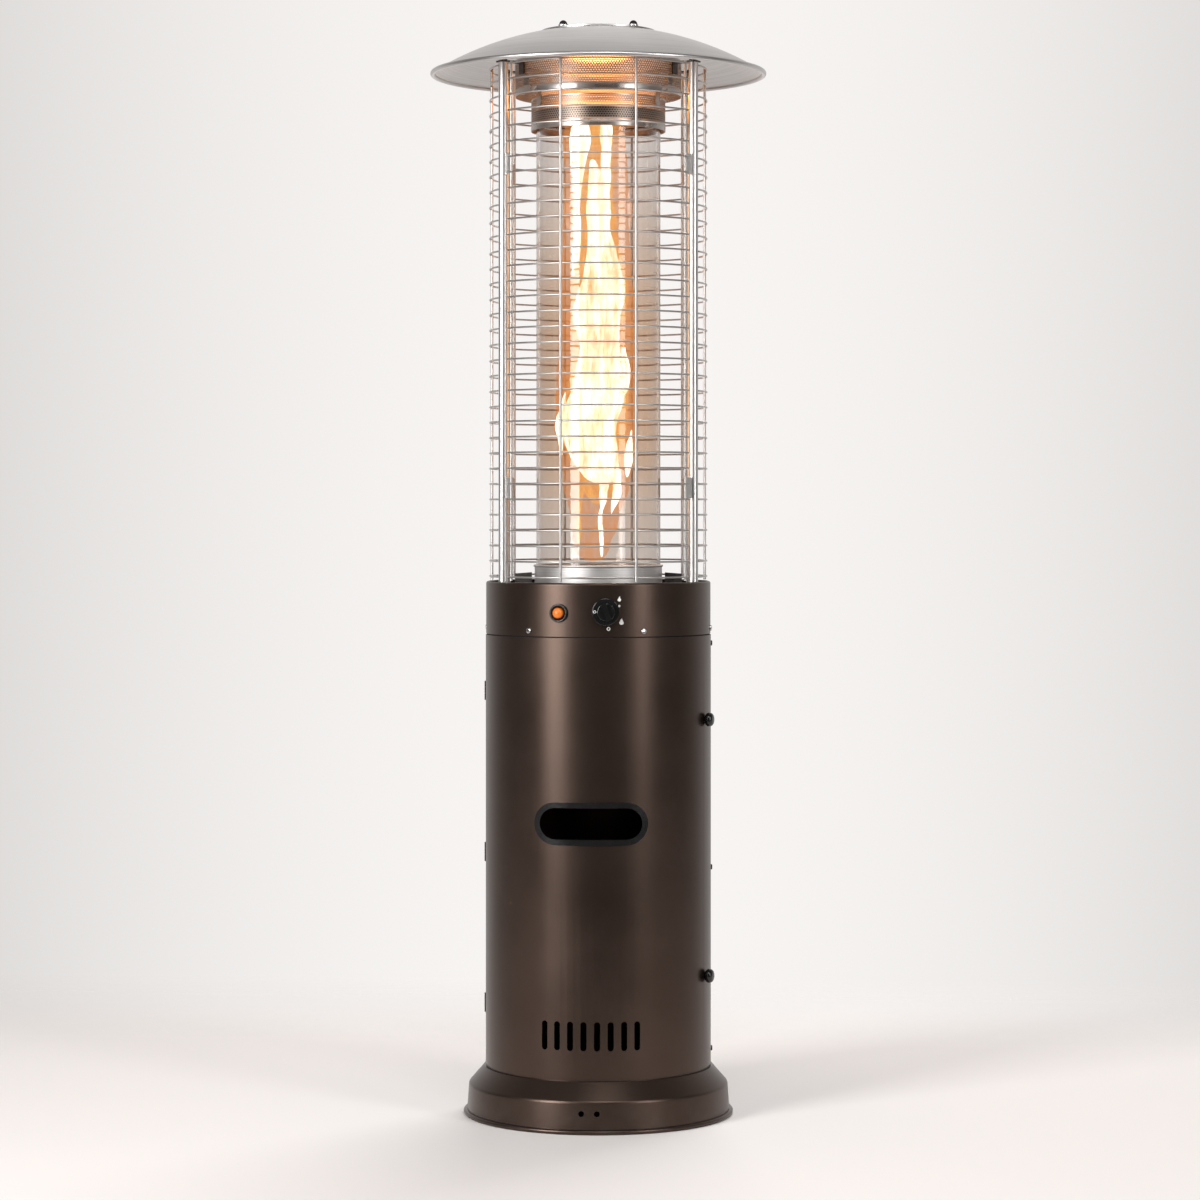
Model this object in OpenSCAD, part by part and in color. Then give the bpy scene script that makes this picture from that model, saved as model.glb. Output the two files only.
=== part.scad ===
// Free-standing patio heater with a flame inside a glass tube.
// Millimetres, +Z up, front door towards -Y, origin on the ground under the centre.
// Azimuths are measured from the front (-Y) towards +X.

/* [Housing] */
// Outer radius of the round housing
body_r = 185.6; // [170:0.1:220]
// Sheet thickness of the housing shells
body_wall = 1.2; // [0.8:0.1:2]
// Height of the housing shells
body_h = 704; // [620:1:800]
// Dark gap between the base and the shells
body_gap = 4.5; // [4:0.5:10]
// Half of the gap between the door and the rear shell
edge_gap = 1; // [0.6:0.1:2]

/* [Base] */
// Height of the base
base_h = 79.5; // [65:0.5:110]
// Height of the upright part of the base skirt
skirt_h = 51; // [42:1:58]
// How far the skirt stands out beyond the housing at its foot
skirt_out = 30.4; // [20:0.1:50]
// How much the skirt draws in over its height
skirt_taper = 3; // [1:0.5:8]
// Diameter of the rolled lip on the ground
lip_d = 8; // [5:0.5:12]
// How far the rolled lip stands out from the skirt
lip_out = 6; // [4:0.5:10]
// How far the top of the base stands out beyond the housing
base_shoulder = 2.4; // [1:0.1:6]
// Sheet thickness of the base
base_wall = 2; // [1:0.1:3]
// Width of the flat ledge that carries the floor plate
base_ledge = 38; // [20:1:60]
// Radius of each anchor hole in the skirt
anchor_hole_r = 4.5; // [3:0.1:6]
// Distance between the two anchor holes
anchor_spacing = 25; // [18:1:40]
// Height of the anchor holes above the ground
anchor_z = 33; // [24:1:38]

/* [Floor and gas cylinder seat] */
// Thickness of the floor plate
floor_t = 2; // [1:0.1:3]
// Height of the upturned rim of the floor plate
floor_rim_h = 35; // [30:1:45]
// Inner radius of the ring that centres the gas cylinder's foot
tank_ring_r = 104; // [90:1:120]
// Height of the gas cylinder ring
tank_ring_h = 14; // [8:1:25]
// Sheet thickness of the gas cylinder ring
tank_ring_wall = 2.5; // [1.5:0.5:4]

/* [Door handle and vents] */
// Width of the clear handle slot
slot_w = 165; // [120:1:180]
// Height of the clear handle slot
slot_h = 50.6; // [40:0.1:60]
// Distance of the slot's centre below the top of the shells
slot_drop = 297; // [270:1:340]
// Thickness of the bezel's sleeve
sleeve_wall = 2.5; // [1.5:0.1:4]
// Depth of the bezel's sleeve behind the door's face
sleeve_depth = 13; // [8:1:25]
// Width of the bezel's face round the slot
bezel_border = 9; // [5:0.5:14]
// Thickness of the bezel's face
bezel_t = 3; // [2:0.1:5]
// Number of vent slots
vent_count = 8; // [4:2:12]
// Width of a vent slot
vent_w = 9.8; // [6:0.1:13]
// Height of a vent slot
vent_h = 46.7; // [30:0.1:70]
// Angle between neighbouring vent slots
vent_pitch = 6.75; // [5.5:0.05:8]
// Height of the vent slots' centres above the foot of the shells
vent_rise = 67.5; // [56:0.5:106]

/* [Hinges] */
// Height of the lowest hinge above the foot of the shells
hinge_low_rise = 95; // [70:1:130]
// Height of the middle hinge above the foot of the shells
hinge_mid_rise = 344; // [300:1:400]
// Distance of the highest hinge below the top of the shells
hinge_top_drop = 93.5; // [70:0.5:130]
// Length of a hinge barrel
barrel_h = 31; // [24:1:40]
// Radius of a hinge barrel
barrel_r = 3.2; // [2.8:0.1:4]
// Radius of a hinge pin
hinge_pin_r = 1.5; // [1.2:0.1:2]
// Thickness of a hinge leaf
leaf_t = 1.2; // [0.8:0.1:2]
// Width of a hinge leaf
leaf_w = 22; // [15:1:35]

/* [Latches] */
// Height of the lower latch knob above the foot of the shells
latch_low_rise = 149; // [100:1:200]
// Distance of the upper latch knob below the top of the shells
latch_top_drop = 137; // [100:1:200]
// Azimuth of the latch knobs
latch_az = 74; // [70:0.5:76]
// Radius of a latch knob
latch_knob_r = 11.5; // [9:0.5:14]
// Thickness of a latch knob's head
latch_knob_h = 10; // [7:0.5:14]
// Gap between a latch knob's head and the door
latch_standoff = 4; // [2:0.5:6]
// Radius of a latch shaft
latch_shaft_r = 4; // [3:0.1:5]
// Thickness of a latch tongue
cam_t = 2; // [1.5:0.1:3]
// Width of a latch tongue
cam_w = 18; // [15:1:24]
// Radius of a latch peg
peg_r = 3; // [2:0.1:4]

/* [Control ring] */
// How far the control ring is set in from the housing
ring_inset = 0.6; // [0:0.1:1]
// Sheet thickness of the control ring
ring_wall = 1.5; // [1:0.1:2]
// Height of the control ring
ring_h = 86; // [75:1:110]
// Seam between the shells and the control ring
ring_seam = 2; // [1:0.1:4]
// Radius of the ring's rounded upper edge
ring_edge_r = 4; // [2.5:0.5:5]
// Depth of the deck plate below the ring's top
deck_drop = 8; // [6.5:0.5:14]
// Thickness of the deck plate
deck_t = 2; // [1.5:0.1:3]
// Number of screws round the control ring
panel_screw_count = 6; // [4:1:10]
// Azimuth of one of these screws
panel_screw_az = 27; // [22:1:40]
// Height of these screws above the ring's lower edge
panel_screw_rise = 9; // [6:0.5:12]
// Radius of a screw head
screw_head_r = 4.5; // [3:0.05:5]

/* [Igniter] */
// Azimuth of the igniter
igniter_az = -16; // [-24:1:-12]
// Height of the igniter above the ring's lower edge
igniter_rise = 38; // [30:1:48]
// Radius of the igniter's black bezel
igniter_bezel_r = 15; // [13:0.5:18]
// Radius of the igniter button
igniter_button_r = 8.5; // [6:0.5:9.5]
// Height of the igniter button's dome
igniter_dome_h = 6.4; // [4:0.1:9]
// Travel of the igniter button
igniter_travel = 5; // [3:0.5:6]

/* [Control knob and valve] */
// Azimuth of the control knob
knob_az = 7.5; // [6:0.5:20]
// Height of the control knob above the ring's lower edge
knob_rise = 40; // [32:1:50]
// Radius of the control knob's skirt
knob_r = 22; // [18:0.5:26]
// Radius of the control knob's raised core
knob_core_r = 15.4; // [12:0.1:17]
// Height of the control knob
knob_h = 17; // [14:0.5:24]
// Height of the control knob's grip above its core
knob_grip_rise = 5; // [3:0.5:7]
// Travel of the knob when it is pushed
knob_travel = 4; // [2:0.5:6]
// Radius of the valve stem
stem_r = 4; // [3:0.1:5]
// Width and height of the valve body
valve_w = 34; // [28:1:40]
// Depth of the valve body
valve_depth = 37; // [30:1:45]
// Radius of the gas inlet thread
inlet_r = 7.9; // [6:0.1:10]
// Length of the gas inlet thread
inlet_len = 18; // [12:1:24]
// Radius of the rigid gas pipe
gas_pipe_r = 4; // [3:0.1:5]

/* [Burner] */
// Height of the burner cup above the deck
cup_h = 35; // [26:1:50]
// Sheet thickness of the burner cup
cup_wall = 1.2; // [0.8:0.1:2]
// Radius of the burner head
burner_r = 45; // [35:1:60]
// Height of the burner head
burner_h = 12; // [8:1:18]
// Outer radius of the mixing tube
mix_r = 16; // [13:0.5:22]
// Wall of the mixing tube
mix_wall = 3; // [2:0.5:5]

/* [Glass tube] */
// Outer radius of the glass tube
glass_r = 102.5; // [90:0.5:108]
// Wall of the glass tube
glass_wall = 5; // [3:0.5:7]
// Length of the glass tube
glass_len = 768; // [600:1:900]
// Thickness of the gaskets at the ends of the glass
gasket_t = 4; // [2:0.5:6]

/* [Outlet collars] */
// How far the lower collar reaches down over the glass
collar_lap = 26; // [22:1:40]
// Height of the lower collar
lower_collar_h = 53; // [45:1:70]
// Gap between the glass and the lower collar
collar_gap = 8.5; // [6:0.5:12]
// Radial step from the lower to the upper collar
collar_step = 26.5; // [20:0.5:32]
// Gap in height between the two collars
collar_split = 4; // [2:0.5:8]
// Height of the upper collar
upper_collar_h = 57; // [48:1:75]
// Sheet thickness of the collars
collar_wall = 1; // [0.8:0.1:1.5]
// Thickness of the lid on the upper collar
lid_t = 2; // [1:0.1:3]
// Azimuth of the straps, either side of the head's front
strap_az = 60; // [40:1:75]

/* [Posts and guard] */
// Turn of the posts, guard and shade against the door
head_turn = 4; // [0:0.5:10]
// Outer radius of a post
post_r = 8; // [6:0.5:9]
// How far the post axes are set in from the control ring
post_inset = 13; // [12:0.5:20]
// Azimuth of the front posts
post_az = 64; // [60:0.5:70]
// How far the posts end below the collar lid
post_drop = 8; // [6:0.5:14]
// Number of wire rings
ring_count = 34; // [20:1:45]
// Radius of the ring wire
ring_wire_r = 1.5; // [1.2:0.1:2]
// Radius of the upright wires
bar_wire_r = 2.25; // [1.8:0.05:3]
// How far the rings lie outside the post axes
guard_out = 6.5; // [3:0.5:8]
// Azimuth at which the front and rear panels end
panel_az = 55; // [45:0.5:56]
// Azimuth of the upright wires of the front and rear panels
front_bar_az = 19.5; // [12:0.5:30]
// Height of the lowest ring above the control ring
first_ring_rise = 8; // [5:0.5:20]
// Distance of the highest ring below the post tops
last_ring_drop = 5; // [3:0.5:20]
// Height of the lower guard clamps above the deck
clamp_low_rise = 161; // [100:1:250]
// Distance of the upper guard clamps below the post tops
clamp_top_drop = 167; // [100:1:250]

/* [Shade] */
// Outer radius of the shade
shade_r = 277; // [230:1:320]
// Rise of the shade from its rim to its top
shade_rise = 76.5; // [50:0.5:90]
// Sheet thickness of the shade
shade_wall = 1.2; // [0.8:0.1:2]
// Radius of the round bar along the rim
rim_bead_r = 4; // [3:0.5:6]
// Radius of the circle of studs
stud_circle_r = 81; // [60:1:105]
// Radius of a stud
stud_r = 3; // [2.5:0.1:4]
// Height of the spacers between the collar lid and the shade
spacer_h = 47.0; // [34:0.1:60]
// How far the cap disc reaches beyond the studs
cap_margin = 14; // [10:0.5:20]
// Thickness of the cap disc
cap_t = 1.2; // [0.8:0.1:2]
// Height of the cap disc's top above the shade
cap_lift = 2.8; // [2.2:0.1:5]
// Radius of a dome nut
nut_r = 6.5; // [5.5:0.1:8]
// Height of a dome nut below its round top
nut_foot_h = 0.6; // [0.4:0.1:8]

/* [Fits] */
// Radial clearance of turning and sliding fits
run_fit = 0.05; // [0.02:0.01:0.1]
// Radial clearance of fixed pins and tubes in their holes
fixed_fit = 0.02; // [0.01:0.01:0.1]
// Clearance between a fixed piece and the curved face that it sits on
seat_gap = 0.2; // [0.1:0.05:0.3]
// Clearance between pieces that move past each other
move_gap = 0.4; // [0.3:0.05:0.6]

/* [Hidden] */
$fn = 64;

bronze = [0.20, 0.16, 0.14];
black = [0.05, 0.05, 0.05];
steel = [0.72, 0.72, 0.71];
orange = [0.85, 0.40, 0.10];
brass = [0.72, 0.58, 0.30];
graphite = [0.25, 0.25, 0.26];
clear = [0.85, 0.90, 0.92, 0.35];

// Length by which a cutting tool runs past the face that it cuts
past = 5;
// Length by which two shapes of one piece run into each other
join = 1;

// Heights, from the ground up
floor_z = base_h + floor_t;
body_z0 = base_h + body_gap;
body_z1 = body_z0 + body_h;
ring_z0 = body_z1 + ring_seam;
ring_z1 = ring_z0 + ring_h;
deck_z = ring_z1 - deck_drop;
cup_floor_t = 2;
cup_floor_z = deck_z + cup_floor_t;
glass_z0 = cup_floor_z + gasket_t;
glass_z1 = glass_z0 + glass_len;
retainer_z = glass_z1 + gasket_t;
lower_z0 = glass_z1 - collar_lap;
lower_z1 = lower_z0 + lower_collar_h;
upper_z0 = lower_z1 + collar_split;
upper_z1 = upper_z0 + upper_collar_h;
lid_z = upper_z1 + lid_t;
post_z1 = upper_z1 - post_drop;

// Radii of the base and the housing
skirt_r = body_r + skirt_out;
skirt_top_r = skirt_r - skirt_taper;
base_top_r = body_r + base_shoulder;
slot_z = body_z1 - slot_drop;
vent_z = body_z0 + vent_rise;
shell_in = body_r - body_wall;
seat_r = shell_in - move_gap;
edge_angle = asin(edge_gap / body_r);
ring_r = body_r - ring_inset;
ring_in = ring_r - ring_wall;

// Screws along the rear shell's right edge, and their distances from its ends and its middle
shell_screw_az = 97;
shell_screw_rise = 20;
shell_screw_mid_drop = 33;
shell_screw_top_drop = 15;
shell_screw_z = [
    body_z0 + shell_screw_rise,
    (body_z0 + body_z1) / 2 - shell_screw_mid_drop,
    body_z1 - shell_screw_top_drop
];

// Hoop between the rear shell and the control ring
hoop_wall = 1.4;
hoop_down = 30;
hoop_up = 16;

// Hinges: the axis lies just inside the housing's outer face, on the left edge
hinge_z = [body_z0 + hinge_low_rise, body_z0 + hinge_mid_rise, body_z1 - hinge_top_drop];
hinge_inset = 0.2;
hinge_axis_r = body_r - hinge_inset;
notch_clear = 1.3;
notch_half = barrel_r + notch_clear;
knuckle_h = barrel_h / 3;
leaf_r1 = shell_in - seat_gap;
leaf_r0 = leaf_r1 - leaf_t;

// Latches: a peg on the rear shell and a tongue that reaches it
latch_low_z = body_z0 + latch_low_rise;
latch_top_z = body_z1 - latch_top_drop;
latch_z = [latch_low_z, latch_top_z];
peg_edge = 6.6;
peg_az = 90 + asin((edge_gap + peg_edge) / shell_in);
peg_u = shell_in * sin(peg_az - latch_az);
cam_nose = 8;
cam_len = peg_u + cam_nose;
cam_clear = 5;
cam_s1 = sqrt(pow(shell_in - cam_clear, 2) - pow(cam_len, 2));
cam_s0 = cam_s1 - cam_t;
notch_play = 1.4;

// Controls
igniter_z = ring_z0 + igniter_rise;
igniter_sleeve_r = 12;
igniter_sleeve_len = 11.5;
igniter_s0 = ring_in - igniter_sleeve_len;
igniter_body_len = 45;
igniter_dome_s = ring_r + igniter_travel;
knob_z = ring_z0 + knob_rise;
plunger_wall = 2;
plunger_r = stem_r + plunger_wall;
bonnet_wall = 6;
bonnet_r = plunger_r + bonnet_wall;
deck_flange_h = 12;
deck_ear_h = 22;
bracket_half_w = 36;
bracket_drop = 20;
bracket_clear = 1;
bracket_t = 2.4;
bracket_s = sqrt(pow(ring_in - seat_gap, 2) - pow(bracket_half_w, 2));
bracket_z0 = knob_z - bracket_drop;
bracket_z1 = deck_z - deck_flange_h - bracket_clear;
bonnet_out = 1;
bonnet_s1 = bracket_s + bonnet_out;
bonnet_len = 15;
valve_s1 = bonnet_s1 - bonnet_len;
valve_s0 = valve_s1 - valve_depth;
plunger_s1 = bonnet_s1 - bonnet_out;
plunger_len = 8;
plunger_s0 = plunger_s1 - plunger_len;
knob_clear = 1;
knob_s0 = ring_r + knob_travel + knob_clear;
stem_grip = 9;
stem_clear = 1.5;

// Screws
screw_shank_r = 1.9;
screw_head_h = 2.8;
screw_len = 8;

// Burner
gasket_lip = 0.8;
gasket_lip_h = 10;
gasket_clear = 0.3;
cup_r = glass_r + seat_gap + gasket_lip + gasket_clear + cup_wall;
cup_seat_w = 15;
deck_hole_r = cup_r - cup_seat_w;
mix_bore = mix_r - mix_wall;
mix_rise = 16;
mix_z1 = deck_z + mix_rise;
mix_foot = 12;
mix_z0 = knob_z + mix_foot;
mix_flange_t = 2;
mix_flange_w = 8;

// Pilot group beside the burner, and its two rods
pilot_gap = 17;
pilot_r = burner_r + pilot_gap;
pilot_az = -35;
pilot_half_w = 16;
rod_gap = 9;
rod_foot = 4;
insulator_r = 3;
insulator_h = 18;
spark_rod_r = 1;
spark_rod_h = 11;
couple_r = 2;
couple_h = 26;

// Collars
strap_w = 14;
strap_t = 1.4;
strap_lap = 18;
strap_rise = 12;
lower_r = glass_r + collar_gap;
upper_r = lower_r + collar_step;

// Posts and guard
post_circle_r = ring_r - post_inset;
post_wall = 1.2;
post_plug = 20;
bracket_plate_t = 2.5;
bolt_r = 3;
guard_r = post_circle_r + guard_out;
weld_sink = 0.6;
outer_bar_r = guard_r + ring_wire_r + bar_wire_r - weld_sink;
inner_bar_r = guard_r - ring_wire_r - bar_wire_r + weld_sink;
bar_foot_gap = 2;
bar_top_gap = 1;
guard_z0 = ring_z1 + bar_foot_gap;
guard_z1 = post_z1 - bar_top_gap;
ring_first_z = ring_z1 + first_ring_rise;
ring_last_z = post_z1 - last_ring_drop;
ring_pitch = (ring_last_z - ring_first_z) / (ring_count - 1);
post_reach = post_r + ring_wire_r + seat_gap;
post_half_chord = sqrt(pow(post_reach, 2) - pow(guard_out, 2)) / 2;
post_angle = 2 * asin(post_half_chord / sqrt(guard_r * post_circle_r));
side_half_az = 90 - post_az - post_angle;
edge_bar_in = 1.5;
edge_bar_az = panel_az - edge_bar_in;
clamp_z = [deck_z + clamp_low_rise, post_z1 - clamp_top_drop];
post_azimuths = [-post_az, post_az, post_az - 180, 180 - post_az];

// Shade
shade_sphere_r = (pow(shade_r - rim_bead_r, 2) + pow(shade_rise, 2)) / (2 * shade_rise);
spacer_r = 6;
shade_drop = sphere_drop(shade_sphere_r - shade_wall, stud_circle_r + spacer_r);
shade_top_z = lid_z + spacer_h + seat_gap + shade_drop + shade_wall;
shade_rim_z = shade_top_z - shade_rise;
shade_centre_z = shade_top_z - shade_sphere_r;
shade_edge_r = shade_r - rim_bead_r;
shade_in_r = shade_sphere_r - shade_wall;
rim_angle = asin(shade_edge_r / shade_sphere_r);
rim_slot = rim_bead_r / 2;
dome_angle = rim_angle - asin(rim_slot / shade_sphere_r);
cap_r = stud_circle_r + cap_margin;
cap_sphere_r = shade_sphere_r + cap_lift;
nut_h = nut_r + nut_foot_h;
nut_seat_r = nut_r + 1.5;
nut_seat_step = 0.3;
nut_seat_at = stud_circle_r - nut_seat_r;
nut_seat_z = shade_top_z + cap_lift - sphere_drop(cap_sphere_r, nut_seat_at) + nut_seat_step;
nut_bore_gap = 0.5;
nut_top_wall = 2.6;
stud_grip = nut_h - nut_top_wall;

// Drop of a sphere of radius R below its top, at the distance d from its axis
function sphere_drop(R, d) = R - sqrt(R * R - d * d);

// Points of an arc about a centre
function arc(cx, cy, r, a0, a1, steps) =
    [for (i = [0 : steps]) let (a = a0 + (a1 - a0) * i / steps) [cx + r * cos(a), cy + r * sin(a)]];

// Outline of a slot with round ends, w along x and h along y
function obround(w, h) =
    w > h
    ? concat(arc((w - h) / 2, 0, h / 2, -90, 90, 16), arc(-(w - h) / 2, 0, h / 2, 90, 270, 16))
    : concat(arc(0, (h - w) / 2, w / 2, 0, 180, 12), arc(0, -(h - w) / 2, w / 2, 180, 360, 12));

// Part of a ring between two azimuths
module band(r0, r1, z0, z1, az0, az1) {
    rotate([0, 0, az0 - 90])
        rotate_extrude(angle = az1 - az0)
            translate([r0, z0])
                square([r1 - r0, z1 - z0]);
}

// Full ring
module hoop(r0, r1, z0, z1) {
    rotate_extrude()
        translate([r0, z0])
            square([r1 - r0, z1 - z0]);
}

// Local frame on the housing: x along increasing azimuth, y up, z outward from the axis
module on_wall(az, z) {
    rotate([0, 0, az])
        translate([0, 0, z])
            rotate([90, 0, 0])
                children();
}

// Local frame of the turned head, with -Y outward at the azimuth
module on_head(az) {
    rotate([0, 0, head_turn + az])
        children();
}

// Prism with the outline of a slot, along the outward direction
module slot_prism(az, z, w, h, s0, s1) {
    on_wall(az, z)
        translate([0, 0, s0])
            linear_extrude(s1 - s0)
                polygon(obround(w, h));
}

// Pan-head screw on the wall, with its head's underside at distance s from the axis
module pan_screw(s) {
    translate([0, 0, s])
        rotate_extrude()
            polygon(concat(
                [[0, -screw_len], [screw_shank_r, -screw_len], [screw_shank_r, 0], [screw_head_r, 0]],
                arc(screw_head_r - screw_head_h / 2, screw_head_h / 2, screw_head_h / 2, 0, 90, 5),
                [[0, screw_head_h]]
            ));
}

module base_skirt() {
    bead = lip_d / 2;
    outline = concat(
        [[skirt_r - base_wall, 0]],
        arc(skirt_r + lip_out - bead, bead, bead, -90, 90, 10),
        [
            [skirt_r, lip_d],
            [skirt_top_r, skirt_h],
            [base_top_r, base_h],
            [base_top_r - base_ledge, base_h],
            [base_top_r - base_ledge, base_h - base_wall],
            [base_top_r - base_wall, base_h - base_wall],
            [skirt_top_r - base_wall, skirt_h - base_wall / 2]
        ]
    );
    color(bronze)
        difference() {
            rotate_extrude()
                polygon(outline);
            for (side = [-1, 1])
                translate([side * anchor_spacing / 2, 0, anchor_z])
                    rotate([90, 0, 0])
                        cylinder(h = skirt_r + past, r = anchor_hole_r);
        }
}

module floor_plate() {
    color(bronze)
        difference() {
            rotate_extrude()
                polygon([
                    [0, base_h],
                    [seat_r, base_h],
                    [seat_r, base_h + floor_rim_h],
                    [seat_r - floor_t, base_h + floor_rim_h],
                    [seat_r - floor_t, floor_z],
                    [0, floor_z]
                ]);
            shell_screw_positions()
                cylinder(h = body_r, r = screw_shank_r + seat_gap);
        }
}

module tank_ring() {
    foot_w = 12;
    color(graphite)
        rotate_extrude()
            polygon([
                [tank_ring_r, floor_z],
                [tank_ring_r + foot_w, floor_z],
                [tank_ring_r + foot_w, floor_z + tank_ring_wall],
                [tank_ring_r + tank_ring_wall, floor_z + tank_ring_wall],
                [tank_ring_r + tank_ring_wall, floor_z + tank_ring_h],
                [tank_ring_r, floor_z + tank_ring_h]
            ]);
}

// Clearance round the hinge barrels in the edges of the shells
module hinge_notches() {
    for (z = hinge_z)
        translate([-hinge_axis_r, 0, z])
            cube([4 * barrel_r, 2 * notch_half, barrel_h + 2 * past], center = true);
}

module shell_screw_positions() {
    for (z = shell_screw_z)
        on_wall(shell_screw_az, z)
            children();
}

module rear_shell() {
    color(bronze)
        difference() {
            band(shell_in, body_r, body_z0, body_z1, 90 + edge_angle, 270 - edge_angle);
            hinge_notches();
            shell_screw_positions()
                cylinder(h = body_r + past, r = screw_shank_r + seat_gap);
        }
}

module front_door() {
    sleeve_out = 2 * (sleeve_wall + seat_gap);
    color(bronze)
        difference() {
            band(shell_in, body_r, body_z0, body_z1, -90 + edge_angle, 90 - edge_angle);
            hinge_notches();
            slot_prism(0, slot_z, slot_w + sleeve_out, slot_h + sleeve_out, 0, body_r + past);
            for (i = [0 : vent_count - 1])
                slot_prism((i - (vent_count - 1) / 2) * vent_pitch, vent_z, vent_w, vent_h,
                    body_r / 2, body_r + past);
            for (z = latch_z)
                on_wall(latch_az, z)
                    cylinder(h = body_r + past, r = latch_shaft_r + run_fit);
        }
}

module door_handle_bezel() {
    face_w = slot_w + 2 * bezel_border;
    face_h = slot_h + 2 * bezel_border;
    side_az = 5;
    face_az = asin(face_w / 2 / body_r) + side_az;
    face_z0 = slot_z - face_h;
    face_z1 = slot_z + face_h;
    sleeve_w = slot_w + 2 * sleeve_wall;
    sleeve_h = slot_h + 2 * sleeve_wall;
    color(black)
        difference() {
            union() {
                intersection() {
                    band(body_r + seat_gap, body_r + bezel_t, face_z0, face_z1, -face_az, face_az);
                    slot_prism(0, slot_z, face_w, face_h, body_r / 2, body_r + past);
                }
                intersection() {
                    band(body_r - sleeve_depth, body_r + bezel_t / 2, face_z0, face_z1, -face_az, face_az);
                    slot_prism(0, slot_z, sleeve_w, sleeve_h, body_r / 2, body_r + past);
                }
            }
            slot_prism(0, slot_z, slot_w, slot_h, 0, body_r + 2 * past);
        }
}

// One side of a hinge: a curved leaf inside the shell and its knuckles on the pin
module hinge_half(z, az_sign, knuckles, bore) {
    clear_az = asin(notch_half / body_r);
    leaf_az = asin(leaf_w / body_r);
    az0 = az_sign > 0 ? -90 + clear_az : -90 - clear_az - leaf_az;
    difference() {
        union() {
            band(leaf_r0, leaf_r1, z - barrel_h / 2, z + barrel_h / 2, az0, az0 + leaf_az);
            for (k = knuckles) {
                translate([-hinge_axis_r, 0, z + k[0]])
                    cylinder(h = k[1] - k[0], r = barrel_r);
                translate([-leaf_r1, az_sign > 0 ? -notch_half - past : 0, z + k[0]])
                    cube([leaf_t, notch_half + past, k[1] - k[0]]);
            }
        }
        translate([-hinge_axis_r, 0, z - barrel_h])
            cylinder(h = 2 * barrel_h, r = bore);
    }
}

module hinge_leaves_body() {
    ends = [[-barrel_h / 2, -knuckle_h / 2 - move_gap], [knuckle_h / 2 + move_gap, barrel_h / 2]];
    color(black)
        for (z = hinge_z)
            hinge_half(z, -1, ends, hinge_pin_r + fixed_fit);
}

module hinge_leaves_door() {
    color(black)
        for (z = hinge_z)
            hinge_half(z, 1, [[-knuckle_h / 2, knuckle_h / 2]], hinge_pin_r + run_fit);
}

module hinge_pins() {
    pin_out = 1;
    color(black)
        for (z = hinge_z)
            translate([-hinge_axis_r, 0, z - barrel_h / 2 - pin_out])
                cylinder(h = barrel_h + 2 * pin_out, r = hinge_pin_r);
}

// Mushroom knob with its shaft through the door
module latch_knob(z) {
    head_s = body_r + latch_standoff;
    edge = latch_knob_h / 2;
    neck_r = latch_shaft_r + 2;
    shaft_end = 4;
    color(black)
        on_wall(latch_az, z)
            rotate_extrude()
                polygon(concat(
                    [
                        [0, cam_s0 - shaft_end],
                        [latch_shaft_r, cam_s0 - shaft_end],
                        [latch_shaft_r, body_r + move_gap],
                        [neck_r, body_r + move_gap],
                        [neck_r, head_s]
                    ],
                    arc(latch_knob_r - edge, head_s + edge, edge, -80, 80, 10),
                    [[0, head_s + latch_knob_h]]
                ));
}

// Hooked tongue, upright while the door is free to open
module latch_cam(z) {
    half = cam_w / 2;
    tail = 10;
    mouth = peg_r + notch_play;
    color(graphite)
        on_wall(latch_az, z)
            translate([0, 0, cam_s0])
                linear_extrude(cam_t)
                    difference() {
                        polygon([
                            [-half, -tail],
                            [half, -tail],
                            [half, peg_u - mouth],
                            [-peg_r - move_gap, peg_u - mouth],
                            [-peg_r - move_gap, peg_u + mouth],
                            [half, peg_u + mouth],
                            [half, cam_len],
                            [-half, cam_len]
                        ]);
                        circle(latch_shaft_r + fixed_fit);
                    }
}

module latch_knob_upper() {
    latch_knob(latch_top_z);
}

module latch_knob_lower() {
    latch_knob(latch_low_z);
}

module latch_cam_upper() {
    latch_cam(latch_top_z);
}

module latch_cam_lower() {
    latch_cam(latch_low_z);
}

module latch_pegs() {
    foot_half_h = 12;
    peg_end = 4;
    foot_r = shell_in - seat_gap;
    color(graphite)
        for (z = latch_z) {
            intersection() {
                on_wall(latch_az, z)
                    translate([peg_u, 0, cam_s0 - peg_end])
                        cylinder(h = body_r, r = peg_r);
                translate([0, 0, z - foot_half_h])
                    cylinder(h = 2 * foot_half_h, r = foot_r);
            }
            band(foot_r - body_wall, foot_r, z - foot_half_h, z + foot_half_h,
                90 + 2 * edge_angle, 2 * peg_az - 90);
        }
}

module shell_screws() {
    color(steel)
        shell_screw_positions()
            pan_screw(body_r + seat_gap / 2);
}

module mid_hoop() {
    upper_out = ring_in - seat_gap;
    color(graphite)
        difference() {
            rotate_extrude()
                polygon([
                    [seat_r - hoop_wall, body_z1 - hoop_down],
                    [seat_r, body_z1 - hoop_down],
                    [seat_r, body_z1],
                    [upper_out, ring_z0],
                    [upper_out, ring_z0 + hoop_up],
                    [upper_out - hoop_wall, ring_z0 + hoop_up],
                    [upper_out - hoop_wall, ring_z0],
                    [seat_r - hoop_wall, body_z1]
                ]);
            panel_screw_positions()
                cylinder(h = body_r, r = screw_shank_r + seat_gap);
            shell_screw_positions()
                cylinder(h = body_r, r = screw_shank_r + seat_gap);
        }
}

module panel_screw_positions() {
    for (i = [0 : panel_screw_count - 1])
        on_wall(panel_screw_az + i * 360 / panel_screw_count, ring_z0 + panel_screw_rise)
            children();
}

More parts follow.
